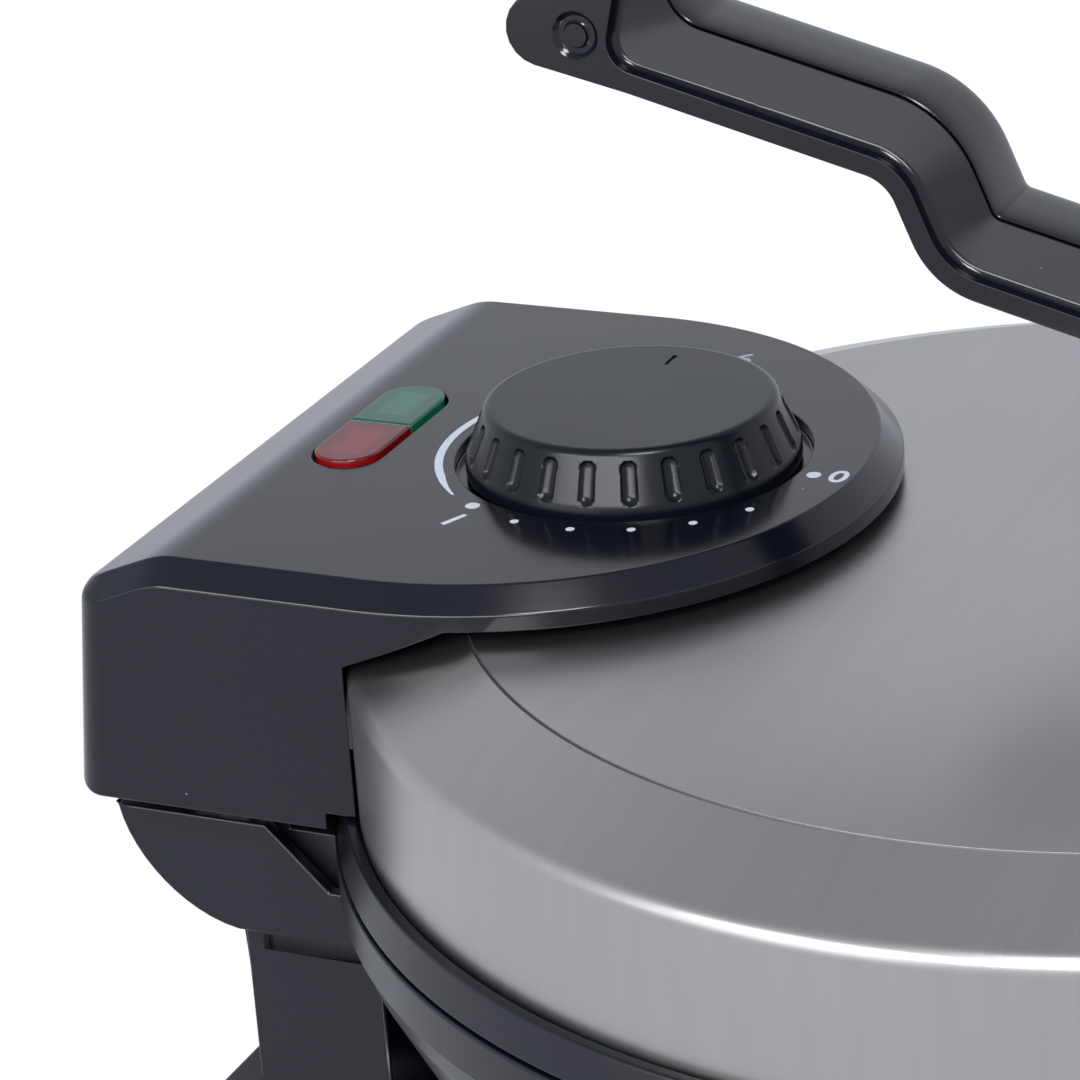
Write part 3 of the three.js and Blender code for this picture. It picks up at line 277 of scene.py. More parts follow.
def turned(name, outline, steps=192, centre=(0, 0), radius_at=None):
    """A closed outline of (radius, height) turned about an upright axis."""
    corners, faces, count = [], [], len(outline)
    for k in range(steps):
        angle = 2 * math.pi * k / steps
        for radius, height in outline:
            reach = radius_at(radius, height, angle) if radius_at else radius
            corners.append((centre[0] + reach * math.cos(angle), centre[1] + reach * math.sin(angle), height))
    for k in range(steps):
        here, there = k * count, (k + 1) % steps * count
        for i in range(count):
            after = (i + 1) % count
            if outline[i][0] > 0 or outline[after][0] > 0:
                faces.append((here + i, here + after, there + after, there + i))
    return solid(name, corners, faces)


def soften(piece, width=0.0, angle=32, segments=3):
    """Smooth shading that keeps flats flat, with a small rounding on every sharp edge when a width is given.
    """
    piece.data.shade_smooth()
    if not width:
        piece.data.set_sharp_from_angle(angle=math.radians(angle))
    else:
        bevel = piece.modifiers.new("edge_rounding", "BEVEL")
        bevel.width, bevel.segments, bevel.limit_method = width * MM, segments, "ANGLE"
        bevel.angle_limit, bevel.use_clamp_overlap, bevel.loop_slide = math.radians(angle), False, False
    piece.modifiers.new("flat_faces", "WEIGHTED_NORMAL").keep_sharp = True
    return piece


def fitted(piece, body, slot, finish, *nodes):
    """Gives a piece its finish, its body and the nodes that it stands for."""
    piece.data.materials.clear()
    piece.data.materials.append(finish.material)
    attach(piece, body)
    if nodes:
        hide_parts(*nodes)
    return piece


def moulded(name, shade, rough, grain=0.004, grain_size=0.35, specks=True, index=1.42):
    """A moulded skin: fine grain, soft cloudiness from handling, and a few specks of dust."""
    cloud_scale, cloud_gloss, grain_gloss = 0.045, 0.1, 0.04
    finish = Finish(name, Base_Color=shade, Roughness=rough, IOR=index)
    cloud = finish.noise(finish.place((cloud_scale,) * 3), 3, 0.6)
    fine = finish.noise(finish.place((1 / grain_size,) * 3))
    finish.set({"Roughness": (cloud - 0.5) * cloud_gloss + (fine - 0.5) * grain_gloss + rough})
    finish.set({"Normal": finish.bump(fine, grain)})
    if specks:
        dust_scale, dust_shade, dust_share, most = 0.16, (0.5, 0.5, 0.48), 0.35, 0.72
        spot = finish.place((dust_scale,) * 3)
        dust = finish.node("ShaderNodeTexVoronoi", None, {"Vector": spot, "Scale": 1})
        drawn = Channel(finish, dust.socket.node.outputs["Color"])
        chosen = finish.node("ShaderNodeSeparateColor", None, {0: drawn}).ramp(most, most + 0.02)
        speck = (1 - dust.ramp(0.02, 0.035)) * chosen * dust_share
        finish.set({"Base_Color": finish.mix(speck, shade, dust_shade)})
    return finish


SATIN_SHADE = (0.0028, 0.0033, 0.0066)
satin_black = moulded("satin_black", SATIN_SHADE, 0.3)

bowl_low, bowl_high = ends("base_bowl")
PLATE_Y = (bowl_low.y + bowl_high.y) / 2
RIM_RADIUS, RIM_TOP, BOWL_BOTTOM = bowl_high.x, bowl_high.z, bowl_low.z
SHELL = 2.4
rim_step, rim_drop = 1.0, 6.7
shoulder_radius, shoulder_z = RIM_RADIUS - 1.7, RIM_TOP - 11.1
wall_slope = 0.5
heel_radius = shoulder_radius - wall_slope * (shoulder_z - BOWL_BOTTOM)
opening_radius = ends("bottom_cover")[1].x + 0.3
lip_radius, lip_z = ends("lower_plate")[1].x + 0.9, ends("lower_plate")[1].z - 3.1
shelf_radius = lip_radius - 3.9
bowl = turned("base_bowl_moulding", filleted([
    (opening_radius, BOWL_BOTTOM, 0.4), (heel_radius, BOWL_BOTTOM, 7), (shoulder_radius, shoulder_z, 3),
    (RIM_RADIUS - rim_step, RIM_TOP - rim_drop - rim_step, 0.5), (RIM_RADIUS, RIM_TOP - rim_drop, 0.5),
    (RIM_RADIUS, RIM_TOP, 0.55), (lip_radius, RIM_TOP, 0.4), (lip_radius, lip_z, 0),
    (shelf_radius, lip_z, 0.3), (shelf_radius, lip_z - SHELL, 0),
    (RIM_RADIUS - rim_step - SHELL, lip_z - SHELL, 0.5),
    (shoulder_radius - SHELL, shoulder_z, 2), (heel_radius - SHELL, BOWL_BOTTOM + SHELL, 4),
    (opening_radius, BOWL_BOTTOM + SHELL, 0)]), centre=(0, PLATE_Y))
fitted(soften(bowl), "base", "satin_black", satin_black, "base_bowl")


# Bottom cover, feet and plinth: black mouldings pushed or screwed to the bowl's bottom, with a rubber
# pad under each foot and two under the plinth. Their edges are rounded as they come from the mould.
def machined(node, slot, finish, rounding=0.3, segments=2):
    """A piece with its node's form, its edges softened."""
    mesh = mended(frame["nodes"][node].data.copy(), 0.01, 1.5)
    for edge in mesh.edges:
        edge.use_edge_sharp = False
    if mesh.attributes.get("custom_normal"):
        mesh.attributes.remove(mesh.attributes["custom_normal"])
    home = next(name for name, held in frame["record"]["behaviour"]["bodies"].items() if node in held)
    piece = linked(node + "_piece", mesh)
    return fitted(soften(piece, rounding, segments=segments), home, slot, finish, node)


dark_plastic = moulded("dark_plastic", (0.009, 0.009, 0.01), 0.5, 0.01, 0.5, specks=False)
rubber = moulded("rubber", (0.013, 0.013, 0.013), 0.75, 0.02, 0.4, specks=False)
machined("bottom_cover", "dark_plastic", dark_plastic)
machined("rear_plinth", "dark_plastic", dark_plastic, 0.8, segments=4)
for side in ("left", "right"):
    machined(f"front_foot_{side}", "satin_black", satin_black, 0.6)
    for end in ("front", "rear"):
        machined(f"{end}_pad_{side}", "rubber", rubber, 0.4)


# Pedestal: the hollow leg between the plinth and the bracket, moulded to follow the bowl. The mains
# cord would leave through the rubber gland at its back.
def as_mesh(thing):
    """The mesh that a thing's modifiers or its text make."""
    bpy.context.view_layer.update()
    return bpy.data.meshes.new_from_object(thing.evaluated_get(bpy.context.evaluated_depsgraph_get()))


def combined(piece, *steps):
    """Joins or cuts a piece with other solids, which are used up."""
    for operation, tool in steps:
        change = piece.modifiers.new(operation, "BOOLEAN")
        change.operation, change.solver, change.object = operation, "EXACT", tool
    result = as_mesh(piece)
    piece.modifiers.clear()
    piece.data = mended(result, 0.02, 0.2, outwards=False)
    for _, tool in steps:
        bpy.data.objects.remove(tool)
    return piece


def lofted(name, rings, caps=None):
    """A closed piece through rings of corners. One face closes each end, unless caps are given."""
    count, last = len(rings[0]), (len(rings) - 1) * len(rings[0])
    faces = caps or [tuple(range(count)), tuple(range(last, last + count))]
    for low in range(0, last, count):
        high = low + count
        faces += [(low + i, low + (i + 1) % count, high + (i + 1) % count, high + i) for i in range(count)]
    return solid(name, [corner for ring in rings for corner in ring], faces)


def prism(name, outline, low, high, axis=2):
    """An outline drawn out along Z, or along X with axis 0."""
    return lofted(name, [[(*spot[:axis], at, *spot[axis:]) for spot in outline] for at in (low, high)])


leg_low, leg_high = ends("pedestal")
leg = machined("pedestal", "satin_black", satin_black, 0.5, segments=4)
slot_deep, slot_tall, slot_from_rear, slot_from_top, overrun = 1.6, 2.6, 2.9, 0.5, 1
slots = []
for side in (-1, 1):
    inner, outer = side * (leg_high.x - slot_deep), side * (leg_high.x + overrun)
    rear, front = leg_high.y - slot_from_rear, leg_low.y - overrun
    slots.append(prism("slot", [(inner, rear), (inner, front), (outer, front), (outer, rear)],
                       leg_high.z - slot_from_top - slot_tall, leg_high.z - slot_from_top))
flare, flare_tall, flare_steps, flare_half = 0.5, 14, 8, leg_high.x - 0.6
flare_foot = leg_high.z - flare_tall
profile = [(leg_high.y - overrun, flare_foot)]
for share in (k / flare_steps for k in range(flare_steps + 1)):
    profile.append((leg_high.y + flare * share**2, flare_foot + flare_tall * share))
profile.append((leg_high.y - overrun, leg_high.z))
web = prism("leg_flare", profile, -flare_half, flare_half, axis=0)
soften(combined(leg, ("UNION", web), *(("DIFFERENCE", slot) for slot in slots)), angle=28)
machined("cord_gland", "rubber", rubber, 0.3)


# Hinge bracket: a trough with a round back that carries the hinge. The aluminium casting inside has
# been filed by hand, and its scratched face shows between the bracket and the rim.
def filed_metal(name, shade, rough, lines, depth=0.03, unshaded_above=None):
    """Metal with fine scratches and a mottled tone; below a height, if one is given, painted shade in satin
    black.
    """
    tarnish, ragged, shade_edge = 0.55, 1.6, 1
    finish = Finish(name, Base_Color=shade, Roughness=rough, Metallic=1.0)
    scratch = finish.noise(finish.place(lines), 5, 0.7)
    mottle = finish.noise(finish.place((0.3,) * 3), 3)
    dark = tuple(c * tarnish for c in shade)
    tone = finish.mix((scratch * 0.6 + mottle * 0.4).ramp(0.38, 0.6), dark, shade)
    # Painted shade: below the height the colour turns satin black and not metallic, with a ragged edge.
    if unshaded_above is not None:
        height = finish.axes()[2]
        unshaded = (height + mottle * ragged).ramp(unshaded_above, unshaded_above + shade_edge)
        tone = finish.mix(unshaded, SATIN_SHADE, tone)
        finish.set({"Metallic": unshaded})
    finish.set({"Base_Color": tone, "Roughness": scratch * 0.3 + (rough - 0.12)})
    finish.set({"Normal": finish.bump(scratch, depth)})
    return finish


machined("hinge_bracket", "satin_black", satin_black, 0.45, segments=3)
across_x, along_x = (2.2, 0.35, 0.35), (0.3, 1.5, 1.5)
cast_aluminium = filed_metal("cast_aluminium", (0.55, 0.55, 0.54), 0.42, across_x)
bright_steel = filed_metal("bright_steel", (0.56, 0.56, 0.57), 0.28, along_x, 0.006)
# Painted shade: below this height the casting is coloured satin black, for the dark inside of the bracket.
shade_line = ends("hinge_base")[1].z - 9
filed_casting_painted_shade = filed_metal("filed_casting_painted_shade", (0.8, 0.8, 0.8), 0.45, across_x, unshaded_above=shade_line)
machined("hinge_base", "cast_aluminium", filed_casting_painted_shade)
for side in ("left", "right"):
    machined(f"hinge_pin_{side}", "bright_steel", bright_steel, 0.2)
    machined(f"hinge_arm_{side}", "cast_aluminium", cast_aluminium, 0.4)

# Cooking plates: cast aluminium with a speckled non-stick coat, each on its tube element and steel
# heat shield. The terminal block in the base is glazed ceramic.
nonstick = moulded("nonstick", (0.02, 0.02, 0.021), 0.42, 0.015, 0.25, specks=False)
ceramic = moulded("ceramic", (0.74, 0.7, 0.62), 0.45, 0.01, 0.6, specks=False)
for level in ("lower", "upper"):
    machined(f"{level}_plate", "nonstick", nonstick, 0.35)
    machined(f"{level}_element", "cast_aluminium", cast_aluminium, 0)
    machined(f"{level}_shield", "bright_steel", bright_steel, 0)
machined("terminal_block", "ceramic", ceramic, 0.6)

# Catch: two arms, moulded in satin black and fixed to the front of the rim, with a steel pin pressed
# through them. The lever's toe pulls up on the pin to press the plates together.
for side in ("left", "right"):
    machined(f"catch_arm_{side}", "satin_black", satin_black, 0.4)
machined("catch_pin", "bright_steel", bright_steel, 0.3)

# Lid ring: black moulding under the steel cover. Its outside leans in a little towards the top and
# ends in a raised edge round the skirt.
ring_low, ring_high = ends("lid_ring")
ring_lean, ring_ledge, shelf_rise = 1.3, 1.3, 3.7
skirt_radius = ends("lid_cover")[1].x
ring = turned("lid_ring_moulding", filleted([
    (lip_radius, ring_low.z, 0.4), (ring_high.x, ring_low.z, 0.5),
    (ring_high.x - ring_lean, ring_high.z, 0.6), (skirt_radius + 0.5, ring_high.z, 0.3),
    (skirt_radius + 0.5, ring_high.z - ring_ledge, 0), (skirt_radius - 1.3, ring_high.z - ring_ledge, 0),
    (skirt_radius - 1.3, ring_high.z, 0.2), (shelf_radius, ring_high.z, 0.2),
    (shelf_radius, ring_low.z + shelf_rise, 0.2), (lip_radius, ring_low.z + shelf_rise, 0)]),
    centre=(0, PLATE_Y))
fitted(soften(ring), "lid", "satin_black", satin_black, "lid_ring")


# Lid cover: pressed from brushed stainless sheet. A shallow groove parts the flat middle from a
# sloping band, which rolls over a small radius into the upright skirt.
def brushed_steel():
    """Brush lines run along X over the flat and turn down over the skirt with the sheet; the groove gets
    painted shade.
    """
    finish = Finish("brushed_steel", Base_Color=(0.33, 0.33, 0.335), Roughness=0.3, Metallic=1.0)
    x, y, z = finish.axes()
    share = y / skirt_radius
    across = y + (z - flat_z) * share * share * share

    def lines(pitch, length, detail):
        spot = finish.node("ShaderNodeCombineXYZ", None, {0: x / length, 1: across / pitch})
        return finish.noise(spot, detail, 0.62)

    fine, broad = lines(pitch=0.35, length=22, detail=4), lines(pitch=3.2, length=90, detail=2)
    smear = finish.noise(finish.place((0.022, 0.03, 0.03)), 2)
    darker, lighter, groove_shade = (0.37, 0.362, 0.352), (0.4, 0.391, 0.38), (0.05, 0.05, 0.052)
    groove_shade_share, groove_shade_roughness = 0.85, 0.3
    # Painted shade: within the groove's width the colour is darkened and the roughness raised, where the
    # shadow gap falls.
    out = y - PLATE_Y
    from_groove = abs((x * x + out * out) ** 0.5 - groove_radius)
    painted_groove_shade = (1 - from_groove.ramp(groove_half * 0.8, groove_half * 1.3)) * groove_shade_share
    unshaded = finish.mix((fine * 0.5 + broad * 0.5).ramp(0.3, 0.7), darker, lighter)
    finish.set({"Base_Color": finish.mix(painted_groove_shade, unshaded, groove_shade), "Normal": finish.bump(fine, 0.0022)})
    finish.set({"Roughness": fine * 0.05 + smear * 0.08 + 0.255 + painted_groove_shade * groove_shade_roughness})
    return finish


cover_low, cover_high = ends("lid_cover")
sheet, groove_radius, groove_half, groove_depth = 0.8, skirt_radius - 17, 0.22, 0.45
band_edge, fall = 3.0, 6.0
flat_z, band_z = cover_high.z, cover_high.z - fall
lid_outline = filleted([
    (0, flat_z, 0), (groove_radius - groove_half, flat_z, 0), (groove_radius, flat_z - groove_depth, 0.1),
    (groove_radius + groove_half, flat_z - groove_depth / 3, 0.15), (skirt_radius, band_z, band_edge * 1.05),
    (skirt_radius, cover_low.z, 0.2), (skirt_radius - sheet, cover_low.z, 0.2),
    (skirt_radius - sheet, band_z - sheet, band_edge - sheet),
    (groove_radius, flat_z - groove_depth - sheet, 1), (0, flat_z - groove_depth - sheet, 0)])
cover = turned("lid_cover_pressing", lid_outline, 256, (0, PLATE_Y))


def disc(radius, low, high, place, steps=64):
    return turned("blank", [(0, low), (radius, low), (radius, high), (0, high)], steps, place)


bush_hole = 5.4
combined(cover, ("DIFFERENCE", disc(bush_hole, flat_z - 9, flat_z + 9, KNOB_AXIS[:2])))
fitted(soften(cover), "lid", "brushed_steel", brushed_steel(), "lid_cover")


# Control housing: one gloss black moulding that hooks over the back of the lid. Its front is a half
# round, its top edge a flat chamfer, and behind the lamps the top falls away to a rounded brow.
house_low, house_high = ends("control_housing")
HALF, DECK, FOOT = house_high.x, house_high.z, house_low.z
LOBE_Y = house_low.y + HALF
BACK_LOW = house_high.y
back_lean = 4.1 / 38.6
corner_round, chamfer, brow, heel_round = 5.0, 3.4, 2.4, 2.0
foot_round, edge_soft = 0.4, 0.7
crease_y, crease_soft, crease_slope = KNOB_AXIS.y + 50.6, 2.4, 4.3 / 10.2


def roof(y):
    """Height of the top: flat, then a soft crease and a straight fall."""
    past = y - crease_y
    if past > crease_soft:
        return DECK - crease_slope * past
    return DECK - crease_slope * max(past + crease_soft, 0) ** 2 / (4 * crease_soft)


def wall_point(t, inset, z):
    """A point of the half plan: t runs 0..1 over the lobe, 1..2 the side, 2..3 the rear corner."""
    half, back = HALF - inset, BACK_LOW - back_lean * (z - FOOT) - inset
    tight = max(corner_round - inset, 0.3)
    if t <= 1:
        turn = math.pi / 2 * (t - 1)
        return half * math.cos(turn), LOBE_Y + half * math.sin(turn), 0
    if t <= 2:
        return half, LOBE_Y + (back - tight - LOBE_Y) * (t - 1), 0
    turn = math.pi / 2 * (t - 2)
    return half - tight + tight * math.cos(turn), back - tight + tight * math.sin(turn), math.sin(turn) ** 2


def housing_block(name, inset, foot, edge):
    """The housing as a full block, drawn in by an inset."""
    lobe_steps, side_steps, corner_steps, foot_steps = 56, 40, 12, 4
    stations = [i / lobe_steps for i in range(lobe_steps)] + [1 + i / side_steps for i in range(side_steps)]
    stations += [2 + i / corner_steps for i in range(corner_steps + 1)]
    rings = []
    for k in range(foot_steps + 1):
        phi = math.pi / 2 * k / foot_steps
        ring = []
        for t in stations:
            pull = foot_round + wall_point(t, 0, foot)[2] * (heel_round - foot_round)
            x, y, _ = wall_point(t, inset + pull * (1 - math.sin(phi)), foot)
            ring.append((x, y, foot + pull * (1 - math.cos(phi))))
        rings.append(ring)
    beyond = edge * 2
    chamfer_line = [(0, beyond, 0), (0, edge, edge_soft), (edge, 0, edge_soft), (beyond, 0, 0)]
    side_profile = filleted(chamfer_line, 5)[1:-1]
    for k, (side_draw, side_drop) in enumerate(side_profile):
        phi = math.pi / 2 * k / (len(side_profile) - 1)
        ring = []
        for t in stations:
            rear = wall_point(t, 0, DECK)[2]
            draw = (1 - rear) * side_draw + rear * brow * (1 - math.cos(phi))
            drop = (1 - rear) * side_drop + rear * brow * (1 - math.sin(phi))
            y = wall_point(t, inset + draw, DECK)[1]
            z = roof(y) - inset - drop
            x, y, _ = wall_point(t, inset + draw, z)
            ring.append((x, y, z))
        rings.append(ring)
    rings = [ring + [(-x, y, z) for x, y, z in reversed(ring)] for ring in rings]
    count, caps = len(rings[0]), []
    for i in range(count // 2 - 1):
        mate = count - 1 - i
        for base in (0, (len(rings) - 1) * count):
            caps.append((base + i, base + i + 1, base + mate - 1, base + mate))
    return lofted(name, rings, caps)


def pill_outline(length, width, middle, steps=24):
    """A straight middle with a half circle at each end."""
    reach, bend, points = length / 2 - width / 2, width / 2, []
    for side in (1, -1):
        centre = middle[0] + side * reach
        for turn in (math.pi * (i / steps - side / 2) for i in range(steps + 1)):
            points.append((centre + bend * math.cos(turn), middle[1] + bend * math.sin(turn)))
    return points


LAMP = Vector((-1, KNOB_AXIS.y + 41.5))
lamp_length, lamp_width, lamp_gap = 32, 10.8, 0.25
well_radius, well_z = 26.6, DECK - 1.8
skirt_gap, rim_gap, flat_gap, level_out = 0.5, 0.9, 1.5, 3.5
rim_clear, skirt_clear, ledge_z = RIM_RADIUS + rim_gap, skirt_radius + skirt_gap, ring_high.z + skirt_gap
lid_space = turned("lid_space", filleted([
    (0, -5, 0), (rim_clear, -5, 0), (rim_clear, ledge_z, 0), (skirt_clear, ledge_z, 0),
    (skirt_clear, band_z + 1.0, 0.5), (skirt_radius - 0.5, band_z + flat_gap, 0.5),
    (groove_radius + level_out, flat_z + flat_gap, 1), (0, flat_z + flat_gap, 0)]), 288, (0, PLATE_Y))
window_outline = pill_outline(lamp_length + lamp_gap * 2, lamp_width + lamp_gap * 2, LAMP)
housing = combined(
    housing_block("control_housing_moulding", 0, FOOT, chamfer),
    ("DIFFERENCE", housing_block("hollow", SHELL, FOOT - 6, chamfer - 1.2)),
    ("UNION", disc(well_radius + SHELL, well_z - SHELL, DECK - 1.2, KNOB_AXIS[:2], 96)),
    ("DIFFERENCE", lid_space),
    ("DIFFERENCE", disc(well_radius, well_z, DECK + 6, KNOB_AXIS[:2], 128)),
    ("DIFFERENCE", disc(bush_hole, well_z - 8, well_z + 1, KNOB_AXIS[:2])),
    ("DIFFERENCE", prism("window", window_outline, DECK - 6, DECK + 6)))
gloss_black = moulded("gloss_black", (0.0024, 0.0028, 0.0058), 0.16, 0.0015, 0.6)
fitted(soften(housing, 0.3, 30), "lid", "gloss_black", gloss_black, "control_housing")

# Housing floor and thermostat: a dark moulded floor closes the housing from below on four steel
# screws, three more hold the housing to the lid, and the thermostat's bush comes up under the knob.
machined("housing_floor", "dark_plastic", dark_plastic)
machined("lamp_holder", "dark_plastic", dark_plastic)
for name in [f"floor_screw_{i}" for i in range(1, 5)] + [f"cover_screw_{i}" for i in range(1, 4)]:
    machined(name, "bright_steel", bright_steel, 0.15)
machined("thermostat_body", "bright_steel", bright_steel, 0.3)
machined("thermostat_spindle", "bright_steel", bright_steel, 0.2)


# Lamp lenses: a red and a green half of one pill, moulded in clear coloured plastic and clipped
# into the window from below. A stippled panel inside spreads the light of each neon lamp.
def lens_finish(name, top, side, inner):
    """Clear coloured plastic: a stippled panel glows under the top, and the side shows a deeper colour."""
    finish = Finish(name, Base_Color=top, Roughness=0.14, IOR=1.42)
    x, y, z = finish.axes()
    depth = (DECK + lens_proud * 2 - z).ramp(0.25, 0.6)
    along, across = abs(x - (LAMP.x + inner)), abs(y - LAMP.y)
    panel = (1 - along.ramp(4.2, 5.0)) * (1 - across.ramp(2.2, 3.0))
    stipple = 2 * math.pi / 0.8
    waves = [finish.node("ShaderNodeMath", {"operation": "SINE"}, {0: axis * stipple}) for axis in (x, y)]
    dots = (waves[0] * waves[1]).ramp(0.1, 0.7)
    cloud = finish.noise(finish.place((0.25,) * 3), 3).ramp(0.3, 0.7)
    lit = tuple(min(c * 2.2 + 0.01, 1) for c in top)
    face = finish.mix(panel * (dots * 0.5 + 0.3) + cloud * 0.2, top, lit)
    finish.set({"Base_Color": finish.mix(depth, face, side)})
    finish.set({"Normal": finish.bump(finish.noise(finish.place((0.5,) * 3), 1), 0.02)})
    return finish


def lamp_lens(slot, side, finish):
    """One half of the pill, with a flange under the window and an upper edge that rolls in."""
    foot, flange, flange_tall = ends("lens_red")[0].z, 1.45, 1.6
    roll_in, shrink, split = 0.45, 0.5, 0.2
    roll_z = DECK + lens_proud
    levels = [(flange, foot), (flange, foot + flange_tall), (0, foot + flange_tall), (0, roll_z)]
    for turn in (math.pi / 8 * k for k in range(1, 5)):
        levels.append((-roll_in * (1 - math.cos(turn)), roll_z + lens_proud * math.sin(turn)))
    rings = []
    for grow, z in levels:
        ring = pill_outline(lamp_length - shrink + grow * 2, lamp_width - shrink + grow * 2, LAMP, 32)
        edge = LAMP.x + side * (split + max(-grow, 0))
        rings.append([(max(x, edge) if side > 0 else min(x, edge), y, z) for x, y in ring])
    fitted(soften(lofted(slot + "_moulding", rings)), "lid", slot, finish, slot)


lens_proud = 0.4
red = lens_finish("lens_red", (0.085, 0.003, 0.005), (0.2, 0.003, 0.006), -lamp_length / 4)
green = lens_finish("lens_green", (0.003, 0.058, 0.035), (0.002, 0.15, 0.07), lamp_length / 4)
lamp_lens("lens_red", -1, red)
lamp_lens("lens_green", 1, green)
lamp_glass = Finish("lamp_glass", Base_Color=(0.8, 0.78, 0.72), Roughness=0.08)
lamp_glass.set({"Roughness": lamp_glass.noise(lamp_glass.place((0.6,) * 3)) * 0.1 + 0.04})
for side in ("left", "right"):
    machined(f"neon_lamp_{side}", "lamp_glass", lamp_glass, 0.3)


# Printed scale: pale ink padded onto the housing round the knob, as a stroke that swells towards the
# hot end, a dot for each step, and plain figures.
ink_thick, ink_foot = 0.05, 0.005
ink = Finish("scale_ink", Base_Color=(0.62, 0.68, 0.76), Roughness=0.5)
flecks = ink.noise(ink.place((2.5,) * 3), 3)
ink.set({"Base_Color": ink.mix(flecks.ramp(0.3, 0.62), (0.44, 0.48, 0.54), (0.5, 0.55, 0.61))})


def printed(name, outlines):
    """Flat inked shapes on the housing's top, as one piece."""
    corners, faces = [], []
    for outline in outlines:
        low, count = len(corners), len(outline)
        high = low + count
        corners += [(KNOB_AXIS.x + x, KNOB_AXIS.y + y, DECK + z)
                    for z in (ink_foot, ink_thick) for x, y in outline]
        faces += [tuple(range(low, high)), tuple(range(high, high + count))]
        faces += [(low + i, low + (i + 1) % count, high + (i + 1) % count, high + i) for i in range(count)]
    fitted(solid(name, corners, faces), "lid", "lamp_glass", ink)


def on_circle(radius, degrees):
    return radius * math.cos(math.radians(degrees)), radius * math.sin(math.radians(degrees))


def circle(radius, steps=64):
    return [on_circle(radius, 360 * i / steps) for i in range(steps)]


stroke_out, stroke_full, stroke_from, stroke_to, stroke_parts = 29.6, 1.25, -3, 140, 48
thin_end, taper = 0.25, 20
strokes = []
for i in range(stroke_parts):
    spans = [stroke_from + (stroke_to - stroke_from) * k / stroke_parts for k in (i, i + 1)]
    widths = [stroke_full * min(1, thin_end + (stroke_to - a) / taper) for a in spans]
    strokes.append([on_circle(stroke_out, spans[0]), on_circle(stroke_out, spans[1]),
                    on_circle(stroke_out - widths[1], spans[1]), on_circle(stroke_out - widths[0], spans[0])])
printed("scale_stroke", strokes)
large, large_out, small, small_out = 1.1, 29.3, 0.65, 29.85
dots = []
for angle, size in ((150.7, large), (168.5, small), (185.8, small), (202.8, small), (219.9, small),
                    (237.2, small), (266.6, large)):
    middle = on_circle(large_out if size == large else small_out, angle)
    dots.append([(middle[0] + x, middle[1] + y) for x, y in circle(size, 16)])
printed("scale_dots", dots)


def figure(name, text, place, height, turn):
    """A printed figure, its foot towards the knob's left."""
    size_to_height, swell = 1.4, 0.1
    drawn = bpy.data.curves.new(name, "FONT")
    drawn.body, drawn.size = text, height * MM * size_to_height
    drawn.extrude, drawn.offset = ink_thick / 2 * MM, swell * MM
    drawn.align_x, drawn.align_y, drawn.resolution_u = "CENTER", "CENTER", 6
    holder = linked(name + "_text", drawn)
    mesh = as_mesh(holder)
    bpy.data.objects.remove(holder)
    spot = Matrix.Translation(metres(place[0] + KNOB_AXIS.x, place[1] + KNOB_AXIS.y, DECK + ink_thick / 2))
    mesh.transform(spot @ Matrix.Rotation(math.radians(turn), 4, "Z"))
    fitted(linked(name, mesh), "lid", "lamp_glass", ink)


figure("scale_figure_0", "0", (-1.6, -33.0), 4.2, -90)
figure("scale_figure_1", "1", on_circle(34.5, 154.5), 4.4, -115)
figure("scale_figure_6", "6", on_circle(39.5, -2), 4.4, -90)

# Dial knob: moulded in satin black and pushed onto the thermostat's spindle. Round-ended flutes run
# down its cone to a plain skirt that sinks into the well; a slit in the top is the pointer.
knob_low, knob_high = ends("dial_knob")
knob_radius, knob_top_radius, knob_skirt, knob_shoulder = knob_high.x, 21.2, 2.4, 1.5
skirt_round, knob_foot_round, knob_wall = 4.2, 0.9, 2.6
flute_count, flute_round, flute_depth = 24, 1.25, 0.8
flute_ends = (knob_low.z + knob_skirt + flute_round * 1.5, knob_high.z - knob_shoulder - flute_round * 0.9)


def fluted(radius, height, angle):
    """The radius at a height and angle, less where a flute is cut in."""
    if radius < knob_top_radius - 1 or height > knob_high.z - 0.4:
        return radius
    pitch = 2 * math.pi / flute_count
    across = abs((angle / pitch) % 1 - 0.5) * pitch * radius
    along = max(flute_ends[0] - height, height - flute_ends[1], 0)
    reach = flute_round**2 - across**2 - along**2
    return radius - (flute_depth * math.sqrt(reach) / flute_round if reach > 0 else 0)


side_rows, edge_rows, foot_rows = 30, 8, 8
edges = filleted([(knob_radius, knob_low.z, 0), (knob_radius, knob_low.z + knob_skirt, skirt_round),
                  (knob_top_radius + 0.4, knob_high.z, knob_shoulder), (0, knob_high.z, 0)], edge_rows)[1:]
lower, upper = edges[edge_rows], edges[edge_rows + 1]
flank = [lower + (upper - lower) * (k / side_rows) for k in range(1, side_rows)]
knob_outline = [(0, knob_high.z - knob_wall), (knob_top_radius - knob_wall, knob_high.z - knob_wall),
                (knob_radius - 2.4, knob_low.z)]
for turn in (math.pi / 2 * k / foot_rows for k in range(foot_rows + 1)):
    knob_outline.append((knob_radius - knob_foot_round * (1 - math.sin(turn)),
                         knob_low.z + knob_foot_round * (1 - math.cos(turn))))
knob_outline += edges[:edge_rows + 1] + flank + edges[edge_rows + 1:]
knob = turned("dial_knob_moulding", [tuple(p) for p in knob_outline], flute_count * 24, KNOB_AXIS[:2], fluted)
slit_from, slit_to, slit_narrow, slit_wide, slit_deep = 13.2, 17.2, 0.32, 0.4, 0.3
slit = ((slit_from, -slit_narrow), (slit_to, -slit_wide), (slit_to, slit_wide), (slit_from, slit_narrow))
pointer = prism("pointer", [(x, KNOB_AXIS.y + y) for x, y in slit], knob_high.z - slit_deep, knob_high.z + 3)
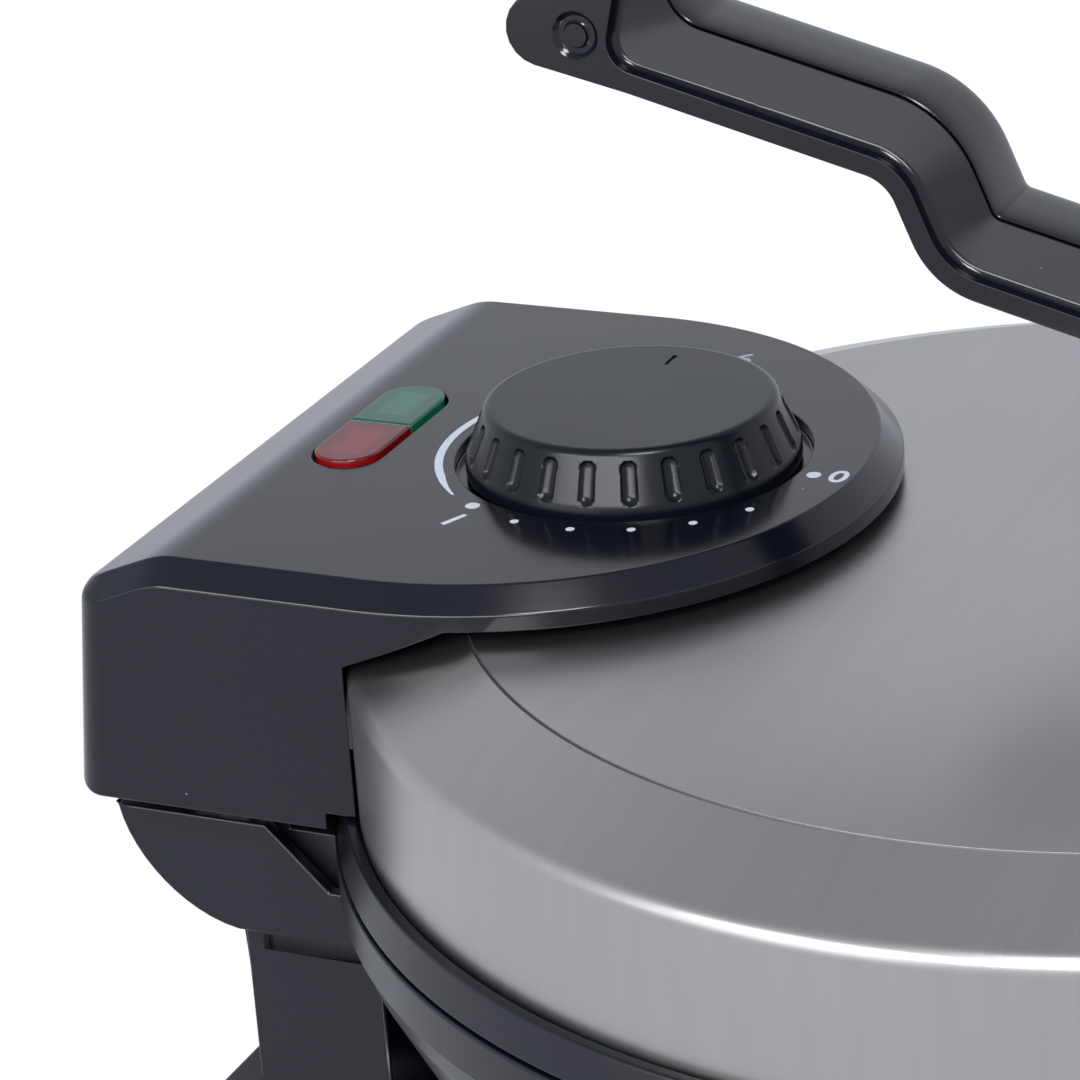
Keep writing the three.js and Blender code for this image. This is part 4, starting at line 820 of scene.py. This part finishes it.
boss_low, boss_high, boss_inner, boss_outer = knob_low.z + 1.5, knob_high.z - 2.3, 3.3, 6
boss = turned("boss", [(boss_inner, boss_low), (boss_outer, boss_low), (boss_outer, boss_high),
                       (boss_inner, boss_high)], 48, KNOB_AXIS[:2])
combined(knob, ("UNION", boss), ("DIFFERENCE", pointer))
knob_black = moulded("knob_black", (0.003, 0.004, 0.0065), 0.25, 0.005, 0.16, index=1.32)
fitted(soften(knob), "knob", "satin_black", knob_black, "dial_knob")

# Lever bracket: two ears moulded in satin black at the front of the lid's skirt. A steel pin pressed
# through them is what the press lever turns on.
machined("lever_bracket", "satin_black", satin_black, 0.4)
machined("lever_pin", "bright_steel", bright_steel, 0.3)

# Press lever: a channelled tray with a flange along each side, whose full-width end turns up into a
# thumb rest, closed by a thin glued cover. Both are gloss black mouldings, cranked to clear the lid. A
# steel toe on two screws works in the catch.
lever_joint = next(j for j in frame["record"]["behaviour"]["joints"] if j["child"] == "lever")
rest_angle = math.radians(15)
LEVER_PLACE = Matrix.Translation(Vector(lever_joint["pos_m"])) @ Matrix.Rotation(rest_angle, 4, "X")
arm_start, arm_rise, crank_rise, crank_start, crank_slope = 20, 18.5, 12.6, 155.3, math.radians(52.5)
foot_bend, top_bend = 13.5, 6.3
grip_low = arm_rise + crank_rise
bends = foot_bend + top_bend
straight_rise = crank_rise - bends * (1 - math.cos(crank_slope))
crank_run = bends * math.sin(crank_slope) + straight_rise / math.tan(crank_slope)
grip_start = crank_start + crank_run
crank_end = grip_start + 14
fillet_line, body_height, upturn_start, upturn_bend = 3.1, 11.3, 203.6, 7.2
rest_start, rest_corner, rest_top = 215.8, 4.5, grip_low + 16.4
tip_centre, tip_radius, tip_drop, tip_lean, rest_round = 225.8, 5.35, 0.5, math.radians(40), 2.6
tip_middle = grip_low - tip_drop + tip_radius
upturn_middle = grip_low + body_height + upturn_bend


def point(*coordinates):
    return Vector(coordinates)


def swept(steps):
    """Places along the arm and the crank: a point of the lower edge and how far the line has turned."""
    places = [(point(arm_start, arm_rise), 0)]
    for turn in (crank_slope * i / steps for i in range(steps + 1)):
        places.append((point(crank_start + foot_bend * math.sin(turn),
                             arm_rise + foot_bend * (1 - math.cos(turn))), turn))
    for turn in (crank_slope * (1 - i / steps) for i in range(steps + 1)):
        places.append((point(grip_start - top_bend * math.sin(turn),
                             grip_low - top_bend * (1 - math.cos(turn))), turn))
    return places + [(point(crank_end, grip_low), 0)]


def over_line(places, rise):
    """The same places, moved out from the lower edge."""
    return [low + point(-math.sin(turn), math.cos(turn)) * rise for low, turn in places]


def curve_of(corners, count):
    """Evenly spaced points along a run of corners."""
    lengths = [0]
    for first, second in zip(corners, corners[1:]):
        lengths.append(lengths[-1] + (second - first).length)
    points = []
    for i in range(count):
        gone = lengths[-1] * i / (count - 1)
        k = max(j for j in range(len(corners) - 1) if lengths[j] <= gone + 1e-9)
        share = (gone - lengths[k]) / (lengths[k + 1] - lengths[k])
        points.append(corners[k].lerp(corners[k + 1], share))
    return points


def bow(middle, radius, first, last, steps):
    """An arc of points between two angles."""
    angles = [first + (last - first) * i / steps for i in range(steps + 1)]
    return [middle + point(math.cos(a), math.sin(a)) * radius for a in angles]


def upturn(radius, steps, top=rest_top):
    """The parting line where it turns up, or a line beside it."""
    reach = math.acos(min((upturn_middle - top) / radius, 1))
    return bow(point(upturn_start, upturn_middle), radius, -math.pi / 2, -math.pi / 2 + reach, steps)


def section_piece(name, sections):
    """A closed piece from its left and right halves: sections of (half width, point of the side view)."""
    return lofted(name, [[(x, p.x, p.y) for x, p in section] + [(-x, p.x, p.y) for x, p in reversed(section)]
                         for section in sections])


arm_places = swept(14)
end_count = 40
fillet_z, rest_foot = grip_low + fillet_line, rest_start - rest_corner
fillet_end = curve_of([point(crank_end, fillet_z), point(rest_foot, fillet_z)]
                      + bow(point(rest_foot, fillet_z + rest_corner), rest_corner, -math.pi / 2, 0, 10)
                      + [point(rest_start + 0.25, rest_top)], end_count)
lean_from = point(tip_centre, tip_middle) + point(math.cos(tip_lean), math.sin(tip_lean)) * tip_radius
lean_rise = rest_top - rest_round * (1 - math.sin(tip_lean)) - lean_from.y
lean_to = lean_from + point(-math.tan(tip_lean), 1) * lean_rise
crown_middle = lean_to + point(-math.cos(tip_lean), -math.sin(tip_lean)) * rest_round
crown = bow(crown_middle, rest_round, tip_lean, math.pi / 2, 6)
outer_end = curve_of([point(crank_end, grip_low), point(rest_foot, grip_low)]
                     + bow(point(tip_centre, tip_middle), tip_radius, -math.pi / 2, tip_lean, 14) + crown
                     + [point(rest_start + 1.5, crown[-1].y)], end_count)
parting_end = curve_of([point(crank_end, grip_low + body_height)] + upturn(upturn_bend, 16), end_count)
inwards = []
for i in range(end_count):
    along = (outer_end[min(i + 1, end_count - 1)] - outer_end[max(i - 1, 0)]).normalized()
    inwards.append(point(-along.y, along.x))


def tray_section(outer, inward, fillet, parting):
    """From the parting line down the wall, round the fillet, over the flange and to the lower edge."""
    wall_head, wall_foot, flange_half = 6.6, 7.55, 10
    fillet_size, fillet_steps, draught = 1.3, 6, 6
    rise = (parting - fillet).normalized()
    points = [(wall_head - 0.12, parting), (wall_head, parting - rise * 0.1)]
    for i in range(fillet_steps + 1):
        turn = math.radians(draught + (90 - draught) * i / fillet_steps)
        points.append((wall_foot + fillet_size * (1 - math.cos(turn)),
                       fillet + rise * fillet_size * (1 - math.sin(turn))))
    points += [(flange_half - 0.25, fillet), (flange_half - 0.06, fillet - rise * 0.07),
               (flange_half, fillet - rise * 0.25), (flange_half, outer + inward * 0.35),
               (flange_half - 0.1, outer + inward * 0.1), (flange_half - 0.35, outer)]
    return points


arm_fillet, arm_parting = over_line(arm_places, fillet_line), over_line(arm_places, body_height)
tray_sections = [tray_section(low, point(-math.sin(turn), math.cos(turn)), fillet, parting)
                 for (low, turn), fillet, parting in zip(arm_places[:-1], arm_fillet, arm_parting)]
tray_sections += [tray_section(*parts) for parts in zip(outer_end, inwards, fillet_end, parting_end)]
tray = section_piece("lever_tray_moulding", tray_sections)
channel_start, channel_end, channel_deep, channel_over = 34, 204, 7.6, 2
channel_top, channel_mouth = 3.1, 4.8
channel_places = [(point(channel_start, arm_rise), 0), *arm_places[1:-1], (point(channel_end, grip_low), 0)]
channel_lines = zip(over_line(channel_places, channel_deep), over_line(channel_places, -channel_over))
channel_sections = [[(channel_top, deep), (channel_mouth, out)] for deep, out in channel_lines]
channel = section_piece("channel", channel_sections)
cover_profile = [(0.0, 6.3), (0.08, 6.5), (0.25, 6.58), (0.42, 6.45), (0.56, 6.0), (0.7, 4.8), (0.8, 3.2),
                 (0.84, 1.4)]
gap, end_steps, cover_top = 0.22, 16, rest_top - 0.35
arm_lines = [(half, over_line(arm_places, body_height + gap + rise)) for rise, half in cover_profile]
end_lines = [(half, upturn(upturn_bend - gap - rise, end_steps, cover_top)) for rise, half in cover_profile]
cover_sections = [[(half, line[k]) for half, line in arm_lines] for k in range(len(arm_places) - 1)]
cover_sections += [[(half, line[i]) for half, line in end_lines] for i in range(end_steps + 1)]
grip = section_piece("lever_grip_moulding", cover_sections)


def quarter(middle, radius, squash, first, last, steps=14):
    """A quarter of an oval between two angles in degrees."""
    spots = [on_circle(radius, first + (last - first) * i / steps) for i in range(steps + 1)]
    return [(middle[0] + x, middle[1] + y * squash) for x, y in spots]


hub, hub_half, neck_half, neck_top, neck_inner = 8, 11.3, 9.2, arm_rise + body_height - 0.05, 16
neck_front = arm_start + 5
neck = quarter((arm_start, hub / 2), neck_front, (neck_top - hub / 2) / neck_front, 180, 90)
neck += [(arm_start + 6, neck_top), (arm_start + 6, arm_rise)]
neck += quarter((hub + neck_inner, 0), neck_inner, arm_rise / neck_inner, 90, 180)
recess_at, face_x = (220.4, grip_low + 5.9), 10
recess_profile = [(1.7, 2), (1.7, -0.35), (1.85, -0.6), (2.1, -0.75), (2.75, -0.75), (3.0, -0.6),
                  (3.25, -0.25), (3.6, 0.05), (3.6, 2)]
grooves = []
for side in (-1, 1):
    groove = turned("ring_groove", recess_profile, 72)
    place = Matrix.Translation(metres(side * face_x, *recess_at))
    groove.data.transform(place @ Matrix.Rotation(side * math.pi / 2, 4, "Y"))
    grooves.append(groove)
slot_near, slot_far, slot_half, bore_radius = 4.5, 14, 4.3, 2.8
toe_corners = ((slot_near, 37), (slot_far, 49), (slot_far, 126), (slot_near, 126))
toe_slot = [on_circle(-radius, degrees) for radius, degrees in toe_corners]
combined(tray, ("UNION", prism("hub", circle(hub), -hub_half, hub_half, axis=0)),
         ("UNION", prism("neck", neck, -neck_half, neck_half, axis=0)),
         ("DIFFERENCE", prism("pin_bore", circle(bore_radius), -20, 20, axis=0)),
         ("DIFFERENCE", prism("toe_slot", toe_slot, -slot_half, slot_half, axis=0)), ("DIFFERENCE", channel),
         *(("DIFFERENCE", groove) for groove in grooves))
for piece, node in ((tray, "lever_tray"), (grip, "lever_grip")):
    piece.data.transform(LEVER_PLACE)
    fitted(soften(piece, angle=30), "lever", "gloss_black", gloss_black, node)
machined("lever_toe", "bright_steel", bright_steel, 0.3)
for i in (1, 2):
    machined(f"lever_screw_{i}", "bright_steel", bright_steel, 0.15)
